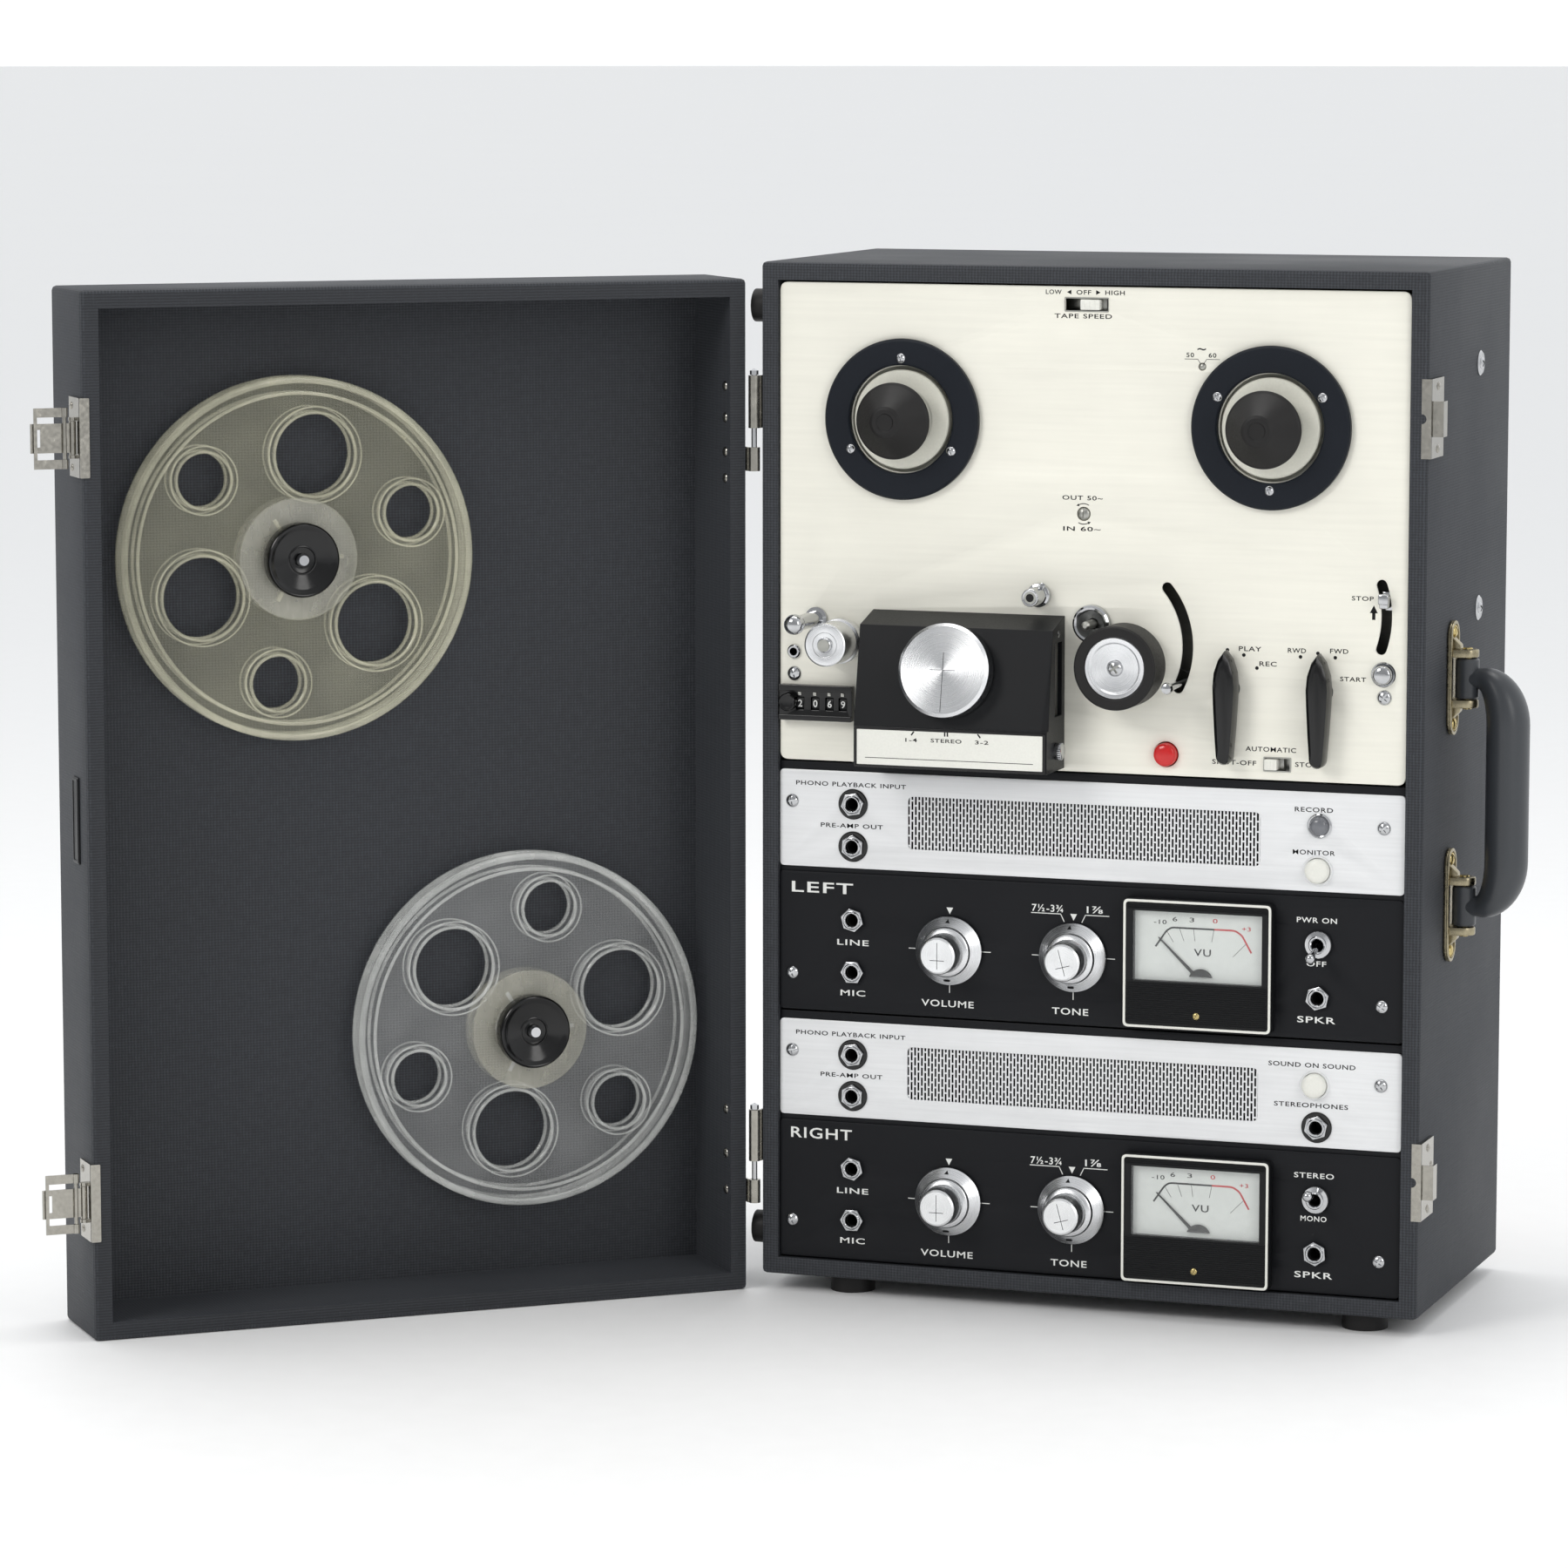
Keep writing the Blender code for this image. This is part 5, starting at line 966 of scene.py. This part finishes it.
    # toggle bushing with its nut
    ring = lathe(mm("3,-10 3,3 3.4,3.4 4,3.4 4.4,3 4.4,2 6.4,1.8 7,1 7,0.2 4.4,0.2 4.4,-10 3,-10"), 64)
    inner = lathe(mm("0,-9 2.9,-9 2.9,1.2 3.05,1.2 3.05,-9.5 0,-9.5 0,-9"), 40)
    piece(f"toggle_bush_{place}", [ring, (inner, HERE, 1)], front(RIGHT_X, jacks[2]), [CHROME, DARK])
    labels(f"strip_words_{place}", [("PHONO PLAYBACK INPUT", 0.0465, high - 0.0066, 0.0021, 0.0575),
        ("PRE-AMP OUT", 0.047, high - 0.0272, 0.0021, 0.0325), *others], INK)
    rows = [(*title, 0.0052, 0.0322), ("LINE", 0.0477, jacks[2] - 0.0114, 0.0028, 0.0165),
        ("MIC", 0.0477, jacks[3] - 0.0106, 0.0028, 0.013), ("VOLUME", KNOB_X["volume"] - 0.001,
        KNOB_Z[side] - 0.0268, 0.0032, 0.0272), ("TONE", KNOB_X["tone"] - 0.0015, KNOB_Z[side] - 0.0272,
        0.0032, 0.0186), ("7½-3¾", 0.1486, KNOB_Z[side] + 0.0236, 0.0034, 0.016),
        ("1⅞", 0.1728, KNOB_Z[side] + 0.0238, 0.0032, 0.0082), (switch[0], RIGHT_X - 0.001, jacks[2] + 0.0118,
        0.0025, 0.02), (switch[1], RIGHT_X - 0.001, jacks[2] - 0.0095, 0.0025, switch[2]),
        ("SPKR", RIGHT_X - 0.0008, right[-1] - 0.0108, 0.003, 0.019)]
    for x in KNOB_X.values():
        z = KNOB_Z[side]
        rows += [triangle(x, z + KNOB_R + 0.003, 0.0021, -QUARTER), stroke(x - KNOB_R - 0.0042, z,
            x - KNOB_R - 0.0002, z, 0.0004), stroke(x + KNOB_R + 0.0002, z, x + KNOB_R + 0.0042, z, 0.0004),
            stroke(x, z - KNOB_R - 0.0042, x, z - KNOB_R - 0.0002, 0.0004)]
    x, z = KNOB_X["tone"], KNOB_Z[side]
    rows += [stroke(x - 0.0218, z + 0.021, x - 0.0066, z + 0.021, 0.0004),
        stroke(x - 0.0067, z + 0.0211, x - 0.0048, z + 0.0172, 0.0004),
        stroke(x + 0.006, z + 0.021, x + 0.0182, z + 0.021, 0.0004), stroke(x + 0.0061, z + 0.0211, x
        + 0.0042, z + 0.0172, 0.0004)]
    labels(f"face_words_{place}", rows, WHITE_INK)

lens = lathe(mm("0,3.7 2.2,3.5 3.8,2.8 4.6,1.6 4.8,0 0,0"), 48)
bezel = lathe(mm("4.8,1 5.4,1.2 6,0.6 6,0 4.8,0 4.8,1"), 48)
lamp_seat = lathe(mm("0,-0.4 4.7,-0.4 4.7,-3 0,-3"), 48)
piece("record_lamp", [lens, (bezel, HERE, 1), (lamp_seat, HERE, 2)], front(*LAMP), [LENS, CHROME, STEEL])

# knobs
skirt = lathe([(0.0094, 0.0088), (0.0112, 0.008), (0.012, 0.0074), (0.0126, 0.0062), (0.0162, 0.003),
    (0.0171, 0.0022), (KNOB_R, 0.0008), (0.0032, 0.0006), (0.0032, -0.012), (0.002, -0.012), (0.002, 0.008),
    (0.0094, 0.0088)], 96, angle=20.0)
crown = lathe(mm("0,20.5 8.2,20.5 9,19.9 9.4,19 9.6,10.4 10,9.8 10,8.4 0,8"), 96, angle=24.0)
for side, z in KNOB_Z.items():
    for kind, x in KNOB_X.items():
        turn = rad(15 if kind == "tone" else 0)
        spin = rot(turn)
        pointer = rot(rad(3 if kind == "tone" else -1))
        slope = rot(rad(-41.6), "X")
        parts = [skirt, (crown, HERE, 1), (block((-0.00014, -0.0066, 0.02046), (0.00014, 0.0066, 0.02054)),
            spin, 2), (block((-0.0037, -0.0024, 0.02046), (0.0037, -0.0021, 0.02054)), spin, 2),
            (slab(triangle(0, 0, 0.0014, QUARTER), 0.0, 0.00008), pointer @ move(0, 0.0149, 0.00425) @ slope,
            2), (slab(capsule(0.001, 0.0007, 8), 0.0, 0.00008), move(0, -0.0146, 0.00455)
            @ rot(rad(41.6), "X"), 2)]
        piece(f"{kind}_knob_{side}_turned", parts, front(x, z), [SPUN, SPUN_CAP, INK], f"{kind}_knob_{side}",
            f"{kind}_knob_{side}")

# ---- meters -------------------------------------------------------------------------------------
for side, (low, high) in METER_Z.items():
    left, right = METER_X
    view = (left + 0.0052, low + 0.0235, right - 0.0052, high - 0.006)
    housing = slab(oblong(left, low, right, high, 0.0026, 6), 0.0003, 0.0072, [oblong(*view, 0.0004)], 0.0007)
    back = slab(oblong(left + 0.001, low + 0.001, right - 0.001, high - 0.001, 0.002), 0.0003, 0.0029)
    can = block((left + 0.012, low + 0.014, -0.022), (right - 0.012, high - 0.008, 0.0004), 0.0006)
    outline = slab(oblong(left + 0.0004, low + 0.0004, right - 0.0004, high - 0.0004, 0.0026, 6), 0.007,
        0.008, [oblong(left + 0.0016, low + 0.0016, right - 0.0016, high - 0.0016, 0.0018, 6)], 0.0003)
    parts = [housing, back, can, (outline, HERE, 1)]
    z = low + 0.0026
    while z < high - 0.0022:
        if z < view[1] - 0.0006 or z > view[3] + 0.0008:
            parts.append(block((left + 0.002, z, 0.0068), (right - 0.002, z + 0.00062, 0.0077), 0.0002, 1))
        z += 0.00104
    parts.append((slab(oblong(*[v + d for v, d in zip(view, (-0.0003, -0.0003, 0.0003, 0.0003))]), 0.0029,
        0.0031), HERE, 2))
    parts.append((SLOTTED, move((left + right) / 2 - 0.0002, low + 0.0072, 0.0072) @ rot(rad(62))
        @ sized(0.0019), 3))
    piece(f"vu_meter_{side}_housing", parts, front(0, 0), [SATIN, WHITE, DIAL, BRASS],
        stands_for=f"vu_meter_{side}")
    # dial printing: flat-topped scale, black then red
    cx, cz = left + 0.035, low + 0.0275
    line = mm("-19.5,12.5 -14,20.5 -11.5,22.2 10,22.2")
    red = mm("10,22.2 20.5,22.2 24,20 28.8,11.5")
    black_marks, red_marks = [], []
    for bucket, path in ((black_marks, fillet(line, 0.006, 6)), (red_marks, fillet(red, 0.006, 6))):
        for a, b in zip(path, path[1:]):
            bucket.append(stroke(cx + a[0], cz + a[1], cx + b[0], cz + b[1], 0.0009))
    for x1, z1, x2, z2 in ((-0.017, 0.0155, -0.014, 0.013), (-0.0138, 0.0203, -0.0105, 0.015),
            (-0.0075, 0.0222, -0.0052, 0.0158), (-0.0004, 0.0222, 0.0004, 0.016),
            (0.01, 0.0222, 0.0088, 0.016), (0.0262, 0.016, 0.0195, 0.0092)):
        black_marks.append(stroke(cx + x1, cz + z1, cx + x2, cz + z2, 0.00022))
    figures = [("-10", cx - 0.0172, cz + 0.0247, 0.0021, 0.0064), ("6", cx - 0.0098, cz + 0.0264, 0.0021,
        0.0024), ("3", cx - 0.0012, cz + 0.0264, 0.0021, 0.0024), ("VU", cx + 0.0042, cz + 0.0105, 0.0034,
        0.0086)]
    labels(f"dial_black_{side}", figures + black_marks, INK, 0.0031)
    labels(f"dial_red_{side}", [("0", cx + 0.0105, cz + 0.0264, 0.0021, 0.0024),
        ("+3", cx + 0.0262, cz + 0.0232, 0.002, 0.0044)] + red_marks, RED_INK, 0.0031)
    hub = slab(arc(0.0036, -0.0036, 0.0062, rad(20), rad(160), 16), 0.0034, 0.0044, (), 0.0002)
    piece(f"meter_shroud_{side}", hub, front(cx, cz), GLOSS)
    needle = slab(mm("-0.85,-1.4 0.85,-1.4 0.3,24.5 0,25 -0.3,24.5"), 0.0036, 0.004)
    pivot = lathe(mm("0,4.3 1.2,4.3 1.5,4 1.5,3.4 0,3.4"), 32)
    piece(f"vu_needle_{side}_blade", [needle, pivot], front(cx, cz, 0.0, rad(46)), INK, f"vu_needle_{side}",
        f"vu_needle_{side}")
    glass = slab(oblong(*[v + d for v, d in zip(view, (-0.0002, -0.0002, 0.0002, 0.0002))]), 0.006, 0.0066)
    piece(f"meter_glass_{side}", glass, front(0, 0), METER_GLASS)

# toggles
for name, z, lean in (("power_toggle", JACKS["upper"][2], 16.0), ("mode_toggle", JACKS["lower"][2], -16.0)):
    bat = lathe(mm("0,19 1.4,18.7 2.3,17.8 2.6,16.6 2.3,15.2 1.5,12 1.3,8 1.2,4 1.6,1 1.6,-6 0,-6"), 48)
    place = wall(DECK, RIGHT_X, PANEL_Y, z, QUARTER + rad(lean), "X")
    piece(name + "_bat", bat, place, CHROME, name, name)

# drive belt between motor pulley and flywheel
gap = MOTOR[0] - CAPSTAN[0]
lean = math.acos((0.04 - 0.007) / gap)
outer = arc(CAPSTAN[0], CAPSTAN[1], 0.0406, lean, 2 * math.pi - lean, 48) + arc(MOTOR[0], MOTOR[1], 0.0078,
    -lean, lean, 20)
inner = arc(CAPSTAN[0], CAPSTAN[1], 0.04, lean, 2 * math.pi - lean, 48) + arc(MOTOR[0], MOTOR[1], 0.0072,
    -lean, lean, 20)
piece("drive_belt", slab(outer, -0.047, -0.042, [inner], 0.0001), front(0, 0), BELT)

# ---- handle and its brackets --------------------------------------------------------------------
half = (HANDLE_Z["upper"] - HANDLE_Z["lower"]) / 2
GRIP_X, GRIP_BEND, GRIP_R = HANDLE_REACH - 0.0006, 0.0225, 0.0105
path = [(0.0006, half - 0.0004, 0.42), (0.0024, half, 0.47)]    # (out, up, share of the grip's radius)
for k in range(15):
    angle = QUARTER * k / 14
    path.append((0.0062 + (GRIP_X - 0.0062) * math.sin(angle), half - GRIP_BEND * (1 - math.cos(angle)), 0.48
        + 0.52 * math.sin(angle)))
path += [(GRIP_X, (half - GRIP_BEND) * (1 - k / 6), 1.0) for k in range(1, 6)]
path += [(out, -up, thick) for out, up, thick in reversed(path)]
sections = []
for k, (out, up, thick) in enumerate(path):
    before, after = path[max(0, k - 1)], path[min(len(path) - 1, k + 1)]
    along = Vector((after[0] - before[0], after[1] - before[1])).normalized()
    sections.append([(out - along.y * x, 1.14 * y, up + along.x * x) for x,
        y in circle(0, 0, GRIP_R * thick)])
parts = [loft(sections, 50.0)]
barrel = lathe(mm("2.5,9.8 5,9.8 5.8,9 5.8,-9 5,-9.8 2.5,-9.8 2.5,9.8"), 48)
for up in (half, -half):
    parts.append((barrel, move(0, 0, up), 0))
piece("handle_moulded", parts, DECK @ move(CASE_W + HANDLE_OUT, HANDLE_Y,
    (HANDLE_Z["upper"] + HANDLE_Z["lower"]) / 2), GRIP, "handle", "handle")
for place, z in HANDLE_Z.items():
    base = slab(capsule(0.0195, 0.0085, 16), 0.0, 0.0016, (), 0.0004)
    rim = slab(capsule(0.0195, 0.0085, 16), 0.001, 0.0024, [capsule(0.0195, 0.0068, 16)], 0.0004)
    parts = [base, rim]
    for end in (-1, 1):
        lug = slab([(0.0, -0.0062), (0.006, -0.006)] + arc(LUG_TIP, 0.0, 0.0056, -QUARTER, QUARTER, 14)
            + [(0.006, 0.006), (0.0, 0.0062)], -0.002, 0.002, (), 0.0007)
        parts.append((lug, move(-end * 0.0123, 0, 0) @ rot(-QUARTER, "Y"), 0))
        web = slab(mm("-2,0 6.2,0 2,4.2 -2,5"), -0.003, 0.003, (), 0.0005)
        parts.append((web, move(-end * 0.0143, 0, 0.001) @ rot(QUARTER, "X")
            @ Matrix.Scale(-end, 4, (1, 0, 0)), 0))
        parts.append((SLOTTED, move(-end * 0.0228, 0, 0.0016) @ rot(rad(35 * end)) @ sized(0.0032), 1))
    pin = lathe(mm("0,15 2.2,15 2.6,14.4 2.1,14.2 2.1,-14.2 2.6,-14.4 2.2,-15 0,-15"), 32)
    parts.append((pin, move(0, 0, LUG_TIP) @ rot(QUARTER, "Y"), 1))
    side_on = wall(DECK, CASE_W + 0.0003, HANDLE_Y, z)
    piece(f"handle_bracket_{place}_cast", parts, side_on, [NICKEL, BRASS],
        stands_for=f"handle_bracket_{place}")

# ---- right wall, strikes and hinges -------------------------------------------------------------
cups = []
for y, z in ((0.106, 0.458), (0.109, 0.337)):
    at = wall(DECK, CASE_W, y, z)
    cup = lathe(mm("3,1 5.2,1.2 6.2,0.4 6.2,0 3,0 3,1"), 48)
    cups += [(cup, at, 0), (PHILLIPS, at @ move(0, 0, 0.0004) @ rot(y * 9) @ sized(0.0034), 0)]
piece("side_screws", cups, HERE, CHROME)
for place, z in LATCH_Z.items():
    dress(f"strike_{place}", LATCH)
    at = [(wall(DECK, CASE_W + STRIKE_OUT, 0.014, z + dz), 0.0022) for dz in (-0.015, 0.015)]
    at += [(wall(DECK, CASE_W + STRIKE_OUT, 0.0205, z + dz), 0.0016) for dz in (-0.006, 0.006)]
    studs(f"strike_rivets_{place}", RIVET, at, LATCH)
    notch = mm("-3.4,-19 1.4,-19 1.4,19 -3.4,19") + arc(-0.0034, 0.0, 0.0024, QUARTER, -QUARTER, 10)
    flange = slab(notch, -0.0003, 0.0001)
    piece(f"strike_flange_{place}", flange, wall(DECK, CASE_W, 0.0, z, QUARTER, "X"), LATCH)
    dress(f"latch_lever_{place}", LATCH)
    dress(f"latch_loop_{place}", LATCH)
    at = [(wall(LID, CASE_W + 0.0012, -0.016, z + dz), 0.0021) for dz in (-0.0148, 0.0148)]
    studs(f"latch_rivets_{place}", RIVET, at, LATCH, "lid")
    edge = slab(oblong(-0.0036, -0.019, 0.0012, 0.019, 0.0006), -0.0002, 0.0002)
    piece(f"latch_flange_{place}", edge, wall(LID, CASE_W, -0.0004, z, QUARTER, "X"), LATCH, "lid")
for place, top in HINGES.items():
    dress(f"hinge_leaf_{place}", LATCH)
    dress(f"hinge_knuckle_{place}", LATCH)
    dress(f"hinge_pin_{place}", CHROME)
    at = [(wall(DECK, -0.0014, 0.01, top - d, -QUARTER), 0.0018) for d in (0.0045, 0.0215)]
    studs(f"hinge_rivets_{place}", RIVET, at, LATCH)
TO_LID = LID.inverted()


def lid_paint(centre):
    """Steel for the latch bases, chrome for the reel posts, vinyl for the rest."""
    spot = TO_LID @ centre
    if spot.x > CASE_W + 0.0001:
        return 1
    inside = WALL < spot.x < CASE_W - WALL and spot.y > -LID_D + LID_FACE + 0.0003
    return 2 if inside and any(math.hypot(spot.x - x, spot.z - z) < 0.016 for x, z in STORED.values()) else 0


dress("lid_shell", [LID_VINYL, LATCH, CHROME], 0.0, lid_paint)

# lid: rivets inside its hinge wall, and a plain badge
inside = [(wall(LID, WALL, -0.008, z), 0.0026) for z in (0.454, 0.4385, 0.4215, 0.4085, 0.0915, 0.069,
    0.0505)]
studs("lid_rivets", RIVET, inside, LATCH, "lid")
badge = slab(oblong(-0.021, -0.0052, 0.021, 0.0052, 0.0008), 0.0, 0.0009, (), 0.0003)
border = slab(oblong(-0.0204, -0.0046, 0.0204, 0.0046, 0.0006), 0.0009, 0.0012,
    [oblong(-0.0192, -0.0036, 0.0192, 0.0036, 0.0004)], 0.0001)
piece("lid_badge", [badge, border], wall(LID, CASE_W, -0.02, 0.252), SATIN, "lid")

# ---- stored reels -------------------------------------------------------------------------------
R = 0.089
for place, (x, z) in STORED.items():
    # clear carries the painted reflection on the flanges; edge carries the painted highlight on their rims,
    # lips, rings and ribs.
    clear, edge = (STYRENE_AGED, STYRENE_AGED_HIGHLIT_EDGES) if place == "upper" else (STYRENE, STYRENE_HIGHLIT_EDGES)
    spots = []
    for number in range(6):
        a = -REEL_TURN[place] - rad(60 * number)
        far, hole_r = REEL_HOLES[number % 2]
        spots.append((far * math.cos(a), far * math.sin(a), hole_r))
    holes = [circle(a, b, r, 56) for a, b, r in spots]
    parts = []
    for low, high in ((0.0003, 0.0017), (0.0108, 0.0122)):
        parts.append(slab(circle(0, 0, R - 0.0006, 128), low, high, holes + [circle(0, 0, 0.029, 64)]))
    # Rims, groove rings, hole lips, rings and ribs take the second paint: painted highlight on the clear
    # edges.
    for low, high in ((0.0, 0.0021), (0.0104, 0.0125)):
        parts.append((lathe([(R - 0.0034, high - 0.0004), (R - 0.0028, high), (R - 0.0008, high),
            (R, high - 0.0006), (R, low + 0.0005), (R - 0.0006, low), (R - 0.003, low),
            (R - 0.0034, low + 0.0004), (R - 0.0034, high - 0.0004)], 144), HERE, 1))
        parts.append((lathe([(R - 0.009, high - 0.0001), (R - 0.0086, high), (R - 0.0078, high),
            (R - 0.0074, high - 0.0001), (R - 0.0074, high - 0.0006), (R - 0.009, high - 0.0006),
            (R - 0.009, high - 0.0001)], 144), HERE, 1))
        for a, b, r in spots:
            lip = lathe([(r - 0.0002, high - 0.0004), (r + 0.0002, high), (r + 0.001, high),
                (r + 0.0014, high - 0.0005), (r + 0.0014, low + 0.0005), (r + 0.001, low), (r + 0.0002, low),
                (r - 0.0002, low + 0.0004), (r - 0.0002, high - 0.0004)], 72)
            parts.append((lip, move(a, b, 0), 1))
            wider = r + 0.0034
            ring = lathe([(wider - 0.0004, high - 0.0003), (wider, high - 0.0001),
                (wider + 0.0004, high - 0.0003), (wider + 0.0004, high - 0.0006),
                (wider - 0.0004, high - 0.0006), (wider - 0.0004, high - 0.0003)], 72)
            parts.append((ring, move(a, b, 0), 1))
    hub = lathe(mm("4,11.8 4.4,12.2 14.8,12.2 15.2,11.8 15.6,12.2 27.8,12.4 28.4,12.5 29.6,12.5 30,12 "
        "30,0.6 29.4,0 17,0 16,0.6 16,5 4,9.5 4,11.8"), 112)
    parts.append((hub, HERE, 2))
    for k in range(3):
        a = rad(120 * k + 62)
        parts.append((block((0.013, -0.0011, 0.0117), (0.023, 0.0011, 0.0125), 0.0003), rot(a), 1))
        parts.append((block((0.0042, -0.001, 0.0096), (0.0062, 0.001, 0.0119), 0.0003), rot(a), 2))
    name = f"storage_reel_{place}"
    piece(name + "_clear", parts, lid_floor(x, z, REEL_OUT), [clear, edge, HUB], name, name)
    cap = lathe(mm("3.6,5.2 6,5.3 7.5,5.8 14,7.2 15.6,7.8 16.6,8.7 17.2,8.8 17.8,8.4 18.2,7.6 18.2,1.2 "
        "17.6,0.2 16,0 3.6,0 3.6,5.2"), 96)
    cap_parts = [cap]
    cap_parts.append(lathe(mm("6.2,5.5 6.6,6 7.2,5.9 7.6,5.6 6.2,5.4 6.2,5.5"), 64))
    piece(f"reel_cap_{place}_dished", cap_parts, lid_floor(x, z, REEL_OUT + 0.0128), GLOSS,
        f"reel_cap_{place}", f"reel_cap_{place}")
    pin = lathe(mm("0,26.2 1.4,26.1 2.4,25.6 3.1,24.6 3.3,23.6 3.3,13 0,13"), 40)
    piece(f"reel_post_tip_{place}", pin, lid_floor(x, z), CHROME, "lid")

# ---- back -------------------------------------------------------------------------------------
back_y = CASE_D - 0.0065 + 0.0035
at = [(wall(DECK, x, back_y, z, -QUARTER, "X"), 0.0034) for x in (0.02, 0.1685, 0.317)
    for z in (0.02, 0.2535, 0.487) if (x, z) != (0.1685, 0.2535)]
studs("back_screws", PHILLIPS, at, STEEL)
pins = [(lathe(mm("0,0.3 1.6,0.3 1.8,0 1.8,-0.2 0,-0.2"), 24), move(dx, 0, 0), 0) for dx in (-0.006, 0.006)]
well = slab(oblong(-0.012, -0.007, 0.012, 0.007, 0.003), 0.0, 0.0003,
    [oblong(-0.0108, -0.0058, 0.0108, 0.0058, 0.0024)], 0.0001)
piece("inlet_face", [*pins, (well, HERE, 1)], wall(DECK, 0.266, CASE_D - 0.0005, 0.051, -QUARTER, "X"),
    [BRASS, GLOSS])

bpy.context.view_layer.update()
(low, high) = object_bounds()
